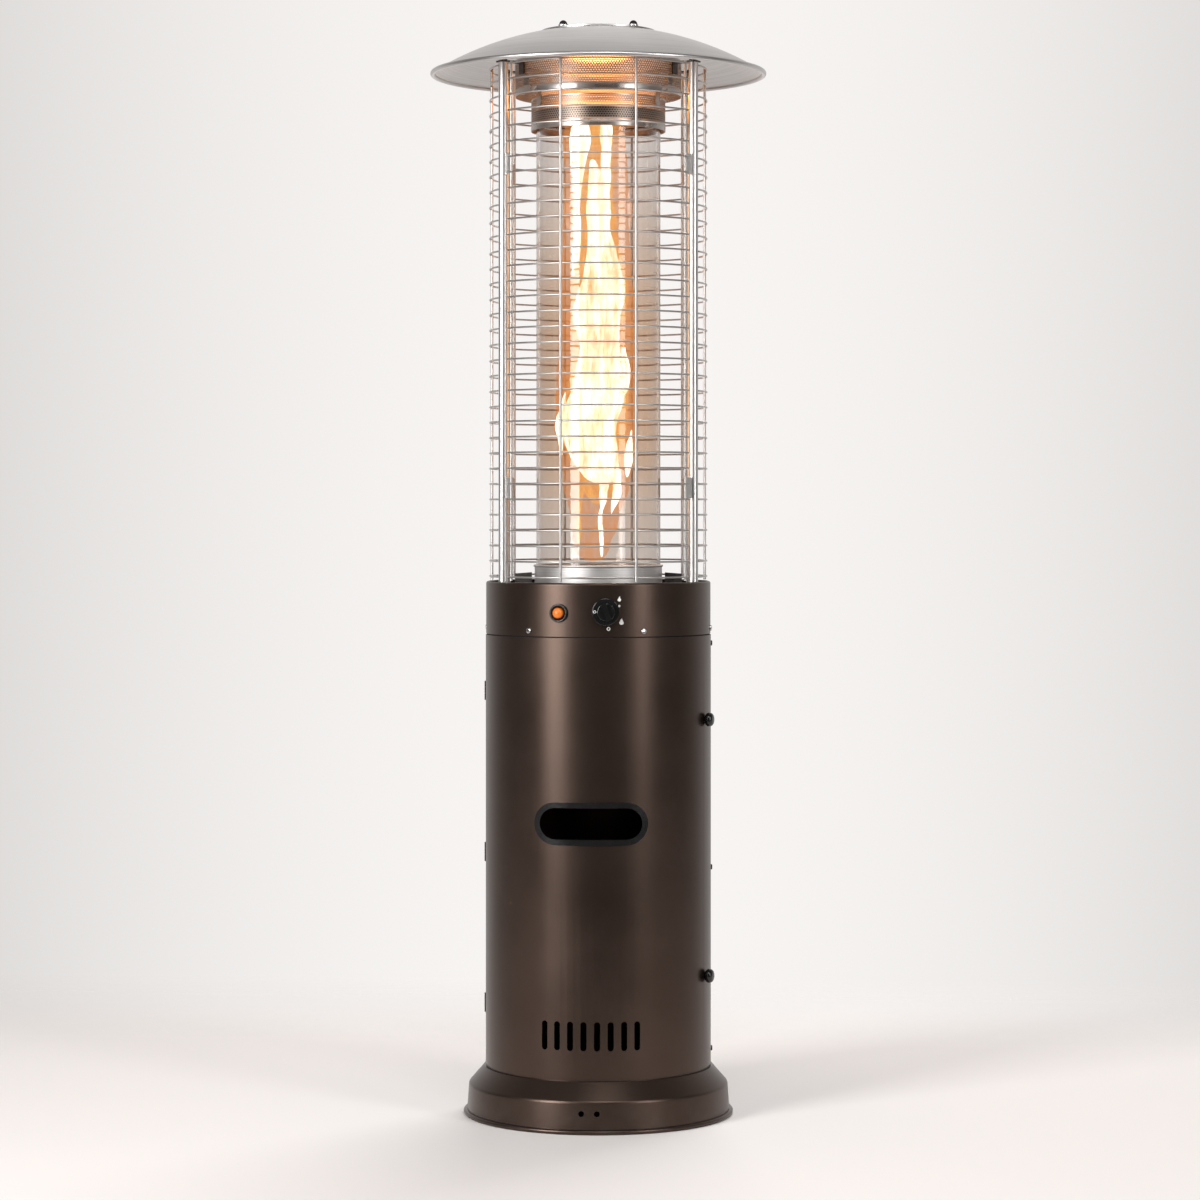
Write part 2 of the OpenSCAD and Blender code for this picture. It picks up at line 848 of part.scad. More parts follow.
module control_panel_ring() {
    lip_in = ring_r - ring_edge_r;
    lip_bend = 1;
    outline = concat(
        [[ring_in, ring_z0], [ring_r, ring_z0]],
        arc(lip_in, ring_z1 - ring_edge_r, ring_edge_r, 0, 90, 8),
        [
            [lip_in, ring_z1 - ring_wall],
            [ring_in - lip_bend, ring_z1 - ring_wall - lip_bend],
            [ring_in, ring_z1 - ring_edge_r]
        ]
    );
    color(bronze)
        difference() {
            rotate_extrude()
                polygon(outline);
            panel_screw_positions()
                cylinder(h = body_r, r = screw_shank_r + seat_gap);
            on_wall(igniter_az, igniter_z)
                cylinder(h = body_r, r = igniter_sleeve_r + seat_gap);
            on_wall(knob_az, knob_z)
                cylinder(h = body_r, r = stem_r + stem_clear);
        }
}

module panel_screws() {
    color(steel)
        panel_screw_positions()
            pan_screw(ring_r + seat_gap / 2);
}

module post_positions() {
    for (az = post_azimuths)
        on_head(az)
            translate([0, -post_circle_r, 0])
                children();
}

// Upright ear on each side of the cup, that stiffens the deck
module deck_ear() {
    ear_in = cup_r + 5;
    ear_out = ear_in + 28;
    translate([0, deck_t / 2, 0])
        rotate([90, 0, 0])
            linear_extrude(height = deck_t)
                polygon([
                    [ear_in, deck_z - join],
                    [ear_out, deck_z - join],
                    [ear_out, deck_z + deck_ear_h - deck_t],
                    [ear_in, deck_z + deck_ear_h]
                ]);
}

module deck_plate() {
    deck_r = ring_in - seat_gap;
    color(graphite)
        union() {
            difference() {
                rotate_extrude()
                    polygon([
                        [deck_hole_r, deck_z - deck_t],
                        [deck_r - deck_t, deck_z - deck_t],
                        [deck_r - deck_t, deck_z - deck_flange_h],
                        [deck_r, deck_z - deck_flange_h],
                        [deck_r, deck_z],
                        [deck_hole_r, deck_z]
                    ]);
                post_positions()
                    translate([0, 0, deck_z - past])
                        cylinder(h = 2 * past, r = bolt_r + seat_gap);
            }
            for (side = [0, 1])
                mirror([side, 0, 0])
                    deck_ear();
        }
}

module gas_valve() {
    color(steel)
        on_wall(knob_az, knob_z)
            difference() {
                union() {
                    translate([-valve_w / 2, -valve_w / 2, valve_s0])
                        cube([valve_w, valve_w, valve_depth]);
                    translate([0, 0, valve_s1 - join])
                        cylinder(h = bonnet_len + join, r = bonnet_r);
                }
                translate([0, 0, plunger_s0 - knob_travel - knob_clear])
                    cylinder(h = body_r, r = plunger_r + run_fit);
            }
}

module valve_bracket() {
    color(graphite)
        on_wall(knob_az, knob_z)
            translate([0, 0, bracket_s - bracket_t])
                difference() {
                    translate([-bracket_half_w, bracket_z0 - knob_z, 0])
                        cube([2 * bracket_half_w, bracket_z1 - bracket_z0, bracket_t]);
                    translate([0, 0, -past])
                        cylinder(h = 3 * past, r = bonnet_r + fixed_fit);
                }
}

module valve_inlet() {
    hex_out = 3;
    hex_r = inlet_r + hex_out;
    hex_h = 7;
    top = knob_z - valve_w / 2;
    color(brass)
        rotate([0, 0, knob_az])
            translate([0, -(valve_s0 + valve_depth / 2), top])
                mirror([0, 0, 1]) {
                    cylinder(h = hex_h, r = hex_r, $fn = 6);
                    cylinder(h = hex_h + inlet_len, r = inlet_r);
                }
}

module valve_plunger() {
    color(brass)
        on_wall(knob_az, knob_z)
            translate([0, 0, plunger_s0])
                difference() {
                    cylinder(h = plunger_len, r = plunger_r);
                    translate([0, 0, -past])
                        cylinder(h = plunger_len + 2 * past, r = stem_r + run_fit);
                }
}

module valve_stem() {
    color(steel)
        on_wall(knob_az, knob_z)
            translate([0, 0, plunger_s0])
                cylinder(h = knob_s0 + stem_grip - plunger_s0, r = stem_r);
}

module control_knob() {
    skirt_t = 3.5;
    draft = 1;
    edge = 1.5;
    grip_w = 9;
    grip_inset = 0.5;
    grip_turn = 20;
    core_h = knob_h - knob_grip_rise;
    color(black)
        on_wall(knob_az, knob_z)
            translate([0, 0, knob_s0])
                difference() {
                    union() {
                        rotate_extrude()
                            polygon(concat(
                                [[0, 0], [knob_r, 0]],
                                arc(knob_r - edge, skirt_t - edge, edge, 0, 90, 5),
                                [[knob_core_r, skirt_t]],
                                arc(knob_core_r - draft - edge, core_h - edge, edge, 0, 90, 5),
                                [[0, core_h]]
                            ));
                        rotate([0, 0, grip_turn])
                            intersection() {
                                translate([-grip_w / 2, -knob_r, skirt_t / 2])
                                    cube([grip_w, 2 * knob_r, knob_h - skirt_t / 2]);
                                cylinder(h = knob_h, r = knob_core_r - grip_inset);
                            }
                    }
                    translate([0, 0, -past])
                        cylinder(h = stem_grip + past, r = stem_r + fixed_fit);
                }
}

module igniter_bezel() {
    flange = 4;
    chamfer = 1;
    s0 = ring_r + seat_gap / 2;
    bore = igniter_button_r + run_fit;
    color(black)
        on_wall(igniter_az, igniter_z)
            rotate_extrude()
                polygon(concat(
                    [[bore, igniter_s0], [igniter_sleeve_r, igniter_s0], [igniter_sleeve_r, s0]],
                    [[igniter_bezel_r, s0]],
                    arc(igniter_bezel_r - flange / 2, s0 + flange / 2, flange / 2, 0, 90, 6),
                    [[bore + chamfer, s0 + flange], [bore, s0 + flange - chamfer]]
                ));
}

module igniter_button() {
    tail_s = igniter_s0 + igniter_travel + join;
    color(orange)
        on_wall(igniter_az, igniter_z)
            rotate_extrude()
                polygon(concat(
                    [[0, tail_s], [igniter_button_r, tail_s]],
                    [for (i = [0 : 8]) let (a = i * 10)
                        [igniter_button_r * cos(a), igniter_dome_s + igniter_dome_h * sin(a)]],
                    [[0, igniter_dome_s + igniter_dome_h]]
                ));
}

module igniter_body() {
    body_inset = 1;
    color(black)
        on_wall(igniter_az, igniter_z)
            translate([0, 0, igniter_s0 - igniter_body_len])
                cylinder(h = igniter_body_len, r = igniter_sleeve_r - body_inset);
}

module tilt_switch() {
    switch_w = 40;
    switch_depth = 26;
    switch_h = 32;
    switch_gap = 20;
    switch_az = 150;
    color(black)
        rotate([0, 0, switch_az])
            translate([-switch_w / 2, -deck_hole_r - switch_gap - switch_depth, deck_z - deck_t - switch_h])
                cube([switch_w, switch_depth, switch_h]);
}

module gas_pipe() {
    jet_r = mix_bore - seat_gap;
    jet_foot = 2;
    jet_lap = 4;
    jet_z0 = knob_z - gas_pipe_r - jet_foot;
    color(steel)
        rotate([0, 0, knob_az])
            union() {
                translate([0, 0, knob_z])
                    rotate([90, 0, 0])
                        cylinder(h = valve_s0, r = gas_pipe_r);
                translate([0, 0, jet_z0])
                    cylinder(h = mix_z0 + jet_lap - jet_z0, r = jet_r);
            }
}

module burner_tube() {
    flange_r = mix_r + mix_flange_w;
    color(steel)
        rotate_extrude()
            polygon([
                [mix_bore, mix_z0],
                [mix_r, mix_z0],
                [mix_r, cup_floor_z],
                [flange_r, cup_floor_z],
                [flange_r, cup_floor_z + mix_flange_t],
                [mix_r, cup_floor_z + mix_flange_t],
                [mix_r, mix_z1],
                [mix_bore, mix_z1]
            ]);
}

module burner_cup() {
    bead = 2;
    cup_z1 = deck_z + cup_h;
    color(steel)
        rotate_extrude()
            polygon(concat(
                [
                    [mix_r + seat_gap, deck_z],
                    [cup_r, deck_z],
                    [cup_r, cup_z1 - 2 * bead]
                ],
                arc(cup_r, cup_z1 - bead, bead, -90, 90, 8),
                [
                    [cup_r - cup_wall, cup_z1],
                    [cup_r - cup_wall, cup_floor_z],
                    [mix_r + seat_gap, cup_floor_z]
                ]
            ));
}

module burner_head() {
    head_edge = 3;
    color(graphite)
        rotate_extrude()
            polygon(concat(
                [[0, mix_z1], [burner_r, mix_z1]],
                arc(burner_r - head_edge, mix_z1 + burner_h - head_edge, head_edge, 0, 90, 6),
                [[0, mix_z1 + burner_h]]
            ));
}

module pilot_frame() {
    rotate([0, 0, pilot_az])
        translate([0, -pilot_r, cup_floor_z])
            children();
}

module pilot_bracket() {
    foot = 14;
    plate_t = 1.6;
    tab_z = 12;
    color(steel)
        pilot_frame()
            difference() {
                union() {
                    translate([-pilot_half_w, -foot / 2, 0])
                        cube([2 * pilot_half_w, foot, plate_t]);
                    translate([-pilot_half_w, -foot / 2, 0])
                        cube([2 * pilot_half_w, plate_t, tab_z]);
                    translate([-pilot_half_w, -foot / 2, tab_z - plate_t])
                        cube([2 * pilot_half_w, foot, plate_t]);
                }
                for (side = [-1, 1])
                    translate([side * rod_gap, 0, tab_z - past])
                        cylinder(h = 2 * past, r = (side < 0 ? insulator_r : couple_r) + fixed_fit);
            }
}

module spark_electrode() {
    color("white")
        pilot_frame()
            translate([-rod_gap, 0, rod_foot]) {
                cylinder(h = insulator_h, r = insulator_r);
                cylinder(h = insulator_h + spark_rod_h, r = spark_rod_r);
            }
}

module thermocouple() {
    color(brass)
        pilot_frame()
            translate([rod_gap, 0, rod_foot])
                cylinder(h = couple_h, r = couple_r);
}

// L-shaped ring that seats one end of the glass, its flat towards z and its lip up or down
module glass_gasket(z, direction) {
    gasket_inset = 1;
    gasket_in = glass_r - glass_wall - gasket_inset;
    lip_r0 = glass_r + seat_gap;
    color(graphite)
        translate([0, 0, z])
            mirror([0, 0, direction < 0 ? 1 : 0])
                rotate_extrude()
                    polygon([
                        [gasket_in, 0],
                        [lip_r0 + gasket_lip, 0],
                        [lip_r0 + gasket_lip, gasket_t + gasket_lip_h],
                        [lip_r0, gasket_t + gasket_lip_h],
                        [lip_r0, gasket_t],
                        [gasket_in, gasket_t]
                    ]);
}

module glass_gasket_lower() {
    glass_gasket(cup_floor_z, 1);
}

module glass_gasket_upper() {
    glass_gasket(retainer_z, -1);
}

module glass_tube() {
    color(clear)
        hoop(glass_r - glass_wall, glass_r, glass_z0, glass_z1);
}

module glass_retainer() {
    plate_t = 1.5;
    retainer_inset = 3;
    lip_past = 2;
    lip_r0 = glass_r + 2 * seat_gap + gasket_lip;
    retainer_in = glass_r - glass_wall - retainer_inset;
    lip_h = gasket_t + gasket_lip_h + lip_past;
    color(steel)
        rotate_extrude()
            polygon([
                [retainer_in, retainer_z],
                [lip_r0, retainer_z],
                [lip_r0, retainer_z - lip_h],
                [lip_r0 + plate_t, retainer_z - lip_h],
                [lip_r0 + plate_t, retainer_z],
                [lower_r - collar_wall - seat_gap, retainer_z],
                [lower_r - collar_wall - seat_gap, retainer_z + plate_t],
                [retainer_in, retainer_z + plate_t]
            ]);
}

module lower_collar() {
    color(steel)
        hoop(lower_r - collar_wall, lower_r, lower_z0, lower_z1);
}

module upper_collar() {
    color(steel)
        hoop(upper_r - collar_wall, upper_r, upper_z0, upper_z1);
}

module collar_lid() {
    color(steel)
        difference() {
            translate([0, 0, upper_z1])
                cylinder(h = lid_t, r = upper_r);
            stud_positions()
                translate([0, 0, upper_z1 - past])
                    cylinder(h = 2 * past + lid_t, r = stud_r + fixed_fit);
        }
}

module collar_straps() {
    arm_z = upper_z0 + strap_rise;
    foot_z = lower_z1 - strap_lap;
    inner_s = lower_r + seat_gap;
    outer_s = upper_r - collar_wall - 2 * seat_gap;
    color(graphite)
        for (az = [-strap_az, strap_az, strap_az - 180, 180 - strap_az])
            on_head(az)
                translate([-strap_w / 2, 0, 0]) {
                    translate([0, -inner_s - strap_t, foot_z])
                        cube([strap_w, strap_t, arm_z + strap_t - foot_z]);
                    translate([0, -outer_s, arm_z])
                        cube([strap_w, outer_s - inner_s, strap_t]);
                    translate([0, -outer_s, arm_z])
                        cube([strap_w, strap_t, strap_lap]);
                }
}

// Tube with plugged, drilled ends
module post(az) {
    color(steel)
        on_head(az)
            translate([0, -post_circle_r, deck_z])
                difference() {
                    cylinder(h = post_z1 - deck_z, r = post_r);
                    translate([0, 0, post_plug])
                        cylinder(h = post_z1 - deck_z - 2 * post_plug, r = post_r - post_wall);
                    translate([0, 0, -past])
                        cylinder(h = post_z1 - deck_z + 2 * past, r = bolt_r + fixed_fit);
                }
}

module post_front_left() {
    post(-post_az);
}

module post_front_right() {
    post(post_az);
}

module post_rear_left() {
    post(post_az - 180);
}

module post_rear_right() {
    post(180 - post_az);
}

module post_bolts() {
    head_h = 4;
    head_r = 6.5;
    shank = 16;
    color(graphite)
        post_positions() {
            translate([0, 0, deck_z - deck_t - head_h])
                cylinder(h = head_h, r = head_r, $fn = 6);
            translate([0, 0, deck_z - deck_t - join])
                cylinder(h = shank + deck_t + join, r = bolt_r);
            translate([0, 0, post_z1 - shank])
                cylinder(h = shank + bracket_plate_t + join, r = bolt_r);
            translate([0, 0, post_z1 + bracket_plate_t])
                cylinder(h = head_h, r = head_r, $fn = 6);
        }
}

module post_brackets() {
    bracket_w = 18;
    tab_h = 20;
    tip_out = 1;
    tab_s = upper_r + seat_gap;
    tip_s = post_circle_r + post_r + tip_out;
    tab_z = post_z1 + bracket_plate_t - tab_h;
    color(graphite)
        for (az = post_azimuths)
            on_head(az)
                difference() {
                    union() {
                        translate([-bracket_w / 2, -tip_s, post_z1])
                            cube([bracket_w, tip_s - tab_s, bracket_plate_t]);
                        translate([-bracket_w / 2, -tab_s - bracket_plate_t, tab_z])
                            cube([bracket_w, bracket_plate_t, tab_h]);
                    }
                    translate([0, -post_circle_r, post_z1 - past])
                        cylinder(h = 3 * past, r = bolt_r + fixed_fit);
                }
}

// Wire panel: stacked arcs welded to upright wires
module guard_panel(az_mid, half_az, outer_bars, inner_bars) {
    color(steel)
        on_head(az_mid) {
            for (i = [0 : ring_count - 1])
                rotate([0, 0, -half_az - 90])
                    rotate_extrude(angle = 2 * half_az)
                        translate([guard_r, ring_first_z + i * ring_pitch])
                            circle(ring_wire_r, $fn = 16);
            for (az = outer_bars)
                rotate([0, 0, az])
                    translate([0, -outer_bar_r, guard_z0])
                        cylinder(h = guard_z1 - guard_z0, r = bar_wire_r);
            for (az = inner_bars)
                rotate([0, 0, az])
                    translate([0, -inner_bar_r, guard_z0])
                        cylinder(h = guard_z1 - guard_z0, r = bar_wire_r);
        }
}

module guard_front() {
    guard_panel(0, panel_az, [-front_bar_az, front_bar_az], [-edge_bar_az, edge_bar_az]);
}

module guard_rear() {
    guard_panel(180, panel_az, [-front_bar_az, front_bar_az], [-edge_bar_az, edge_bar_az]);
}

module guard_left() {
    guard_panel(-90, side_half_az, [], [0]);
}

module guard_right() {
    guard_panel(90, side_half_az, [], [0]);
}

// Plates between the panels' edge wires and the posts
module guard_clamps() {
    clamp_t = 2;
    clamp_h = 34;
    half_gap = (post_az - edge_bar_az) / 2;
    bar_at = inner_bar_r * [-sin(half_gap), -cos(half_gap)];
    post_at = post_circle_r * [sin(half_gap), -cos(half_gap)];
    reach = post_at - bar_at;
    clamp_w = norm(reach) - bar_wire_r - post_r - 2 * seat_gap;
    color(graphite)
        for (turn = [0, 180])
            for (side = [0, 1])
                for (z = clamp_z)
                    on_head(turn)
                        mirror([side, 0, 0])
                            rotate([0, 0, edge_bar_az + half_gap])
                                translate([bar_at[0], bar_at[1], z - clamp_h / 2])
                                    rotate([0, 0, atan2(reach[1], reach[0])])
                                        translate([bar_wire_r + seat_gap, -clamp_t / 2, 0])
                                            cube([clamp_w, clamp_t, clamp_h]);
}

module stud_positions() {
    for (az = [45 : 90 : 315])
        on_head(az)
            translate([0, -stud_circle_r, 0])
                children();
}

module shade() {
    steps = 24;
    color(steel)
        difference() {
            rotate_extrude()
                polygon(concat(
                    arc(0, shade_centre_z, shade_sphere_r, 90, 90 - dome_angle, steps),
                    arc(0, shade_centre_z, shade_in_r, 90 - dome_angle, 90, steps)
                ));
            stud_positions()
                translate([0, 0, lid_z])
                    cylinder(h = shade_top_z, r = stud_r + seat_gap);
        }
}

module shade_rim() {
    steps = 4;
    slot_end = 90 - dome_angle - asin(seat_gap / shade_sphere_r);
    slot_mouth = 90 - rim_angle + 2 * asin(rim_bead_r / shade_sphere_r);
    color(steel)
        difference() {
            rotate_extrude()
                translate([shade_edge_r, shade_rim_z])
                    circle(rim_bead_r, $fn = 24);
            rotate_extrude()
                polygon(concat(
                    arc(0, shade_centre_z, shade_sphere_r + seat_gap, slot_mouth, slot_end, steps),
                    arc(0, shade_centre_z, shade_in_r - seat_gap, slot_end, slot_mouth, steps)
                ));
        }
}

module shade_cap() {
    steps = 12;
    under_r = cap_sphere_r - cap_t;
    cap_angle = asin(cap_r / cap_sphere_r);
    under_angle = asin((cap_r - cap_t) / under_r);
    rim_z = shade_top_z - sphere_drop(shade_sphere_r, cap_r - cap_t) + seat_gap;
    seat_foot_z = shade_top_z - sphere_drop(shade_sphere_r, nut_seat_at) + seat_gap;
    color(steel)
        difference() {
            union() {
                rotate_extrude()
                    polygon(concat(
                        arc(0, shade_centre_z, cap_sphere_r, 90, 90 - cap_angle, steps),
                        [[cap_r, rim_z], [cap_r - cap_t, rim_z]],
                        arc(0, shade_centre_z, under_r, 90 - under_angle, 90, steps)
                    ));
                stud_positions()
                    translate([0, 0, seat_foot_z])
                        cylinder(h = nut_seat_z - seat_foot_z, r = nut_seat_r);
            }
            stud_positions()
                translate([0, 0, lid_z])
                    cylinder(h = shade_top_z, r = stud_r + seat_gap);
        }
}

module shade_studs() {
    color(graphite)
        stud_positions() {
            translate([0, 0, lid_z])
                cylinder(h = spacer_h, r = spacer_r);
            translate([0, 0, upper_z1])
                cylinder(h = nut_seat_z + stud_grip - upper_z1, r = stud_r);
        }
}

module dome_nuts() {
    color(black)
        stud_positions()
            translate([0, 0, nut_seat_z])
                difference() {
                    rotate_extrude()
                        polygon(concat(
                            [[0, 0], [nut_r, 0]],
                            [for (i = [0 : 8]) [nut_r * cos(i * 10), nut_foot_h + nut_r * sin(i * 10)]],
                            [[0, nut_h]]
                        ));
                    translate([0, 0, -past])
                        cylinder(h = stud_grip + past + nut_bore_gap, r = stud_r + fixed_fit);
                }
}

base_skirt();
floor_plate();
tank_ring();
rear_shell();
front_door();
door_handle_bezel();
hinge_leaves_body();
hinge_leaves_door();
hinge_pins();
latch_knob_upper();
latch_knob_lower();
latch_cam_upper();
latch_cam_lower();
latch_pegs();
shell_screws();
mid_hoop();
control_panel_ring();
panel_screws();
deck_plate();
gas_valve();
valve_bracket();
valve_inlet();
valve_plunger();
valve_stem();
control_knob();
igniter_bezel();
igniter_button();
igniter_body();
tilt_switch();
gas_pipe();
burner_tube();
burner_cup();
burner_head();
pilot_bracket();
spark_electrode();
thermocouple();
glass_gasket_lower();
glass_tube();
glass_gasket_upper();
glass_retainer();
lower_collar();
collar_straps();
upper_collar();
collar_lid();
post_bolts();
post_brackets();
guard_front();
guard_rear();
guard_left();
guard_right();
guard_clamps();
shade();
shade_rim();
shade_cap();
shade_studs();
dome_nuts();
post_front_left();
post_front_right();
post_rear_left();
post_rear_right();
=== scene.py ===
import math
import bpy
from mathutils import Matrix, Vector


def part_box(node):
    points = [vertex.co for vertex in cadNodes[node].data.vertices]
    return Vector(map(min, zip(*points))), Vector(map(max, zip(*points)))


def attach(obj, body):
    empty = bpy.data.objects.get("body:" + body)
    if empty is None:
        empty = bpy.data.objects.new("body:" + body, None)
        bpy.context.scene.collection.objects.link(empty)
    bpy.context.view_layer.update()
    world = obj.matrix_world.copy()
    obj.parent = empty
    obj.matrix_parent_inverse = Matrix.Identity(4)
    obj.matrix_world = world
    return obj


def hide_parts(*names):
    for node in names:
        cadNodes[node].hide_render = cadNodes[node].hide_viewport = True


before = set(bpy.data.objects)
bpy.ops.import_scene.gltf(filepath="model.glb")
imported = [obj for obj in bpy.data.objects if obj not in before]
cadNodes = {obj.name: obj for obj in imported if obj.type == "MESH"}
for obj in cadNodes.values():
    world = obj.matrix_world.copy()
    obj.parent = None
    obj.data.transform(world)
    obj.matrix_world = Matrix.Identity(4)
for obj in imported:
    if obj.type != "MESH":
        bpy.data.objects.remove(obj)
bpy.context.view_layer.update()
print("frame loaded:", len(cadNodes), "CAD nodes")


# camera: level, a little to the right of the door's middle
photoCamera = {
    "azimuth": 4.0,
    "distance": 5.7585,
    "height": 1.0006,
    "focalLength": 104.7,
    "sensor": 36.0,
    "shiftX": 0.0014,
    "shiftY": -0.079,
    "clipEnd": 60,
}


def placeCamera():
    bpy.ops.object.select_all(action="DESELECT")
    turn = math.radians(photoCamera["azimuth"])
    spot = (math.sin(turn) * photoCamera["distance"], -math.cos(turn) * photoCamera["distance"],
            photoCamera["height"])
    bpy.ops.object.camera_add(location=spot, rotation=(math.pi / 2, 0, turn))
    camera = bpy.context.object
    camera.name = "photoCamera"
    camera.data.lens = photoCamera["focalLength"]
    camera.data.sensor_width = photoCamera["sensor"]
    camera.data.shift_x = photoCamera["shiftX"]
    camera.data.shift_y = photoCamera["shiftY"]
    camera.data.clip_end = photoCamera["clipEnd"]
    bpy.context.scene.camera = camera


placeCamera()
bpy.context.scene.view_settings.view_transform = "Standard"
print("camera placed")


# node helpers
def addNode(tree, kind, settings=None, values=None):
    node = tree.nodes.new(kind)
    for key, value in (settings or {}).items():
        setattr(node, key, value)
    for key, value in (values or {}).items():
        if hasattr(value, "is_output"):
            tree.links.new(value, node.inputs[key])
        else:
            node.inputs[key].default_value = value
    return node


def mathNode(tree, operation, first, second=0.5):
    return addNode(tree, "ShaderNodeMath", {"operation": operation}, {0: first, 1: second}).outputs[0]


def blendColours(tree, factor, first, second, blend="MIX"):
    node = addNode(tree, "ShaderNodeMix", {"data_type": "RGBA", "blend_type": blend},
                   {"Factor": factor, 6: first, 7: second})
    return node.outputs[2]


def spread(tree, value, low, high, toLow, toHigh):
    ends = {"From Min": low, "From Max": high, "To Min": toLow, "To Max": toHigh}
    node = addNode(tree, "ShaderNodeMapRange", {"clamp": True}, {"Value": value, **ends})
    return node.outputs[0]


def rgb(red, green, blue):
    # colour given as 0 to 255 screen values, turned into the linear value that a shader takes
    def linear(channel):
        share = channel / 255
        return share / 12.92 if share <= 0.04045 else ((share + 0.055) / 1.055) ** 2.4
    return (linear(red), linear(green), linear(blue), 1)


# studio: pale wall behind the heater, dim towards the camera; upright strips, a top box and a back box
studio = {
    "paleWall": rgb(248, 245, 243),
    "brightAt": -0.065,
    "falloff": 7.2,
    "darkest": 0.76,
    "wallFrom": (0.06, 0.76),
    "dimFront": (0.10, 0.097, 0.095, 1),
    "ambient": (0.15, 0.1475, 0.145, 1),
    "floorPaint": rgb(238, 233, 230),
    "floorFade": (0.75, 1.6),
    "floorFront": (0.80, 1.40),
    "floorRadius": 7.5,
    "floorSides": 96,
}


def buildSurround():
    world = bpy.data.worlds.new("softStudio")
    bpy.context.scene.world = world
    world.use_nodes = True
    tree = world.node_tree
    tree.nodes.clear()
    direction = addNode(tree, "ShaderNodeTexCoord").outputs["Generated"]
    parts = addNode(tree, "ShaderNodeSeparateXYZ", None, {0: direction})
    behind = spread(tree, parts.outputs["Y"], studio["wallFrom"][0], studio["wallFrom"][1], 0, 1)
    sideways = mathNode(tree, "SUBTRACT", parts.outputs["X"], studio["brightAt"])
    sideways = mathNode(tree, "MULTIPLY", sideways, sideways)
    sideways = mathNode(tree, "MULTIPLY", sideways, studio["falloff"])
    bright = mathNode(tree, "MAXIMUM", mathNode(tree, "SUBTRACT", 1.0, sideways), studio["darkest"])
    wall = blendColours(tree, 1.0, studio["paleWall"], bright, "MULTIPLY")
    seen = blendColours(tree, behind, studio["dimFront"], wall)
    path = addNode(tree, "ShaderNodeLightPath")
    direct = mathNode(tree, "MAXIMUM", path.outputs["Is Camera Ray"], path.outputs["Is Glossy Ray"])
    direct = mathNode(tree, "MAXIMUM", direct, path.outputs["Is Transmission Ray"])
    colour = blendColours(tree, direct, studio["ambient"], seen)
    background = addNode(tree, "ShaderNodeBackground", None, {"Color": colour, "Strength": 1.0})
    output = addNode(tree, "ShaderNodeOutputWorld")
    tree.links.new(background.outputs[0], output.inputs["Surface"])


softboxes = {
    "leftStrip": {"azimuth": -40, "reach": 4.2, "middle": 1.97, "aim": 1.0, "size": (1.35, 3.0),
                  "power": 172, "mirrored": True},
    "rightStrip": {"azimuth": 48.5, "reach": 4.2, "middle": 2.0, "aim": 1.0, "size": (0.95, 2.9),
                   "power": 62, "mirrored": True},
    "topBox": {"azimuth": 10, "reach": 2.3, "middle": 3.1, "aim": 0.9, "size": (1.5, 1.1),
               "power": 28, "mirrored": True},
    "backBox": {"azimuth": 166, "reach": 2.4, "middle": 2.9, "aim": 0.3, "size": (2.0, 1.0),
                "power": 75, "mirrored": False},
}


def hangSoftbox(name):
    box = softboxes[name]
    turn = math.radians(box["azimuth"])
    spot = Vector((math.sin(turn) * box["reach"], -math.cos(turn) * box["reach"], box["middle"]))
    bpy.ops.object.select_all(action="DESELECT")
    bpy.ops.object.light_add(type="AREA", location=spot)
    lamp = bpy.context.object
    lamp.name = name
    lamp.data.shape = "RECTANGLE"
    lamp.data.size, lamp.data.size_y = box["size"]
    lamp.data.energy = box["power"]
    lamp.visible_glossy = box["mirrored"]
    lamp.rotation_euler = (Vector((0, 0, box["aim"])) - spot).to_track_quat("-Z", "Y").to_euler()


def layFloor():
    bpy.ops.object.select_all(action="DESELECT")
    bpy.ops.mesh.primitive_circle_add(vertices=studio["floorSides"], radius=studio["floorRadius"],
                                      fill_type="NGON", location=(0, 0, 0))
    floor = bpy.context.object
    floor.name = "paleFloor"
    material = bpy.data.materials.new("paleFloor")
    material.use_nodes = True
    tree = material.node_tree
    tree.nodes.clear()
    place = addNode(tree, "ShaderNodeTexCoord").outputs["Object"]
    depth = addNode(tree, "ShaderNodeSeparateXYZ", None, {0: place}).outputs["Y"]
    far = spread(tree, depth, studio["floorFade"][0], studio["floorFade"][1], 0, 1)
    near = spread(tree, depth, -studio["floorFront"][1], -studio["floorFront"][0], 1, 0)
    far = mathNode(tree, "MAXIMUM", far, near)
    paint = addNode(tree, "ShaderNodeBsdfDiffuse", None, {"Color": studio["floorPaint"]})
    clear = addNode(tree, "ShaderNodeBsdfTransparent")
    mix = addNode(tree, "ShaderNodeMixShader", None, {0: far, 1: paint.outputs[0], 2: clear.outputs[0]})
    output = addNode(tree, "ShaderNodeOutputMaterial")
    tree.links.new(mix.outputs[0], output.inputs["Surface"])
    floor.data.materials.append(material)


buildSurround()
for boxName in softboxes:
    hangSoftbox(boxName)
layFloor()
print("studio ready")


# shared surface effects
def startGroup(name, inputs, outputs):
    group = bpy.data.node_groups.new(name, "ShaderNodeTree")
    for label, kind in inputs:
        group.interface.new_socket(label, in_out="INPUT", socket_type=kind)
    for label in outputs:
        group.interface.new_socket(label, in_out="OUTPUT", socket_type="NodeSocketFloat")
    entry = group.nodes.new("NodeGroupInput").outputs
    leave = group.nodes.new("NodeGroupOutput").inputs
    return group, entry, leave


def noise(tree, place, scale, detail=3.0, rough=0.55):
    node = addNode(tree, "ShaderNodeTexNoise", None,
                   {"Vector": place, "Scale": scale, "Detail": detail, "Roughness": rough})
    return node.outputs[0]


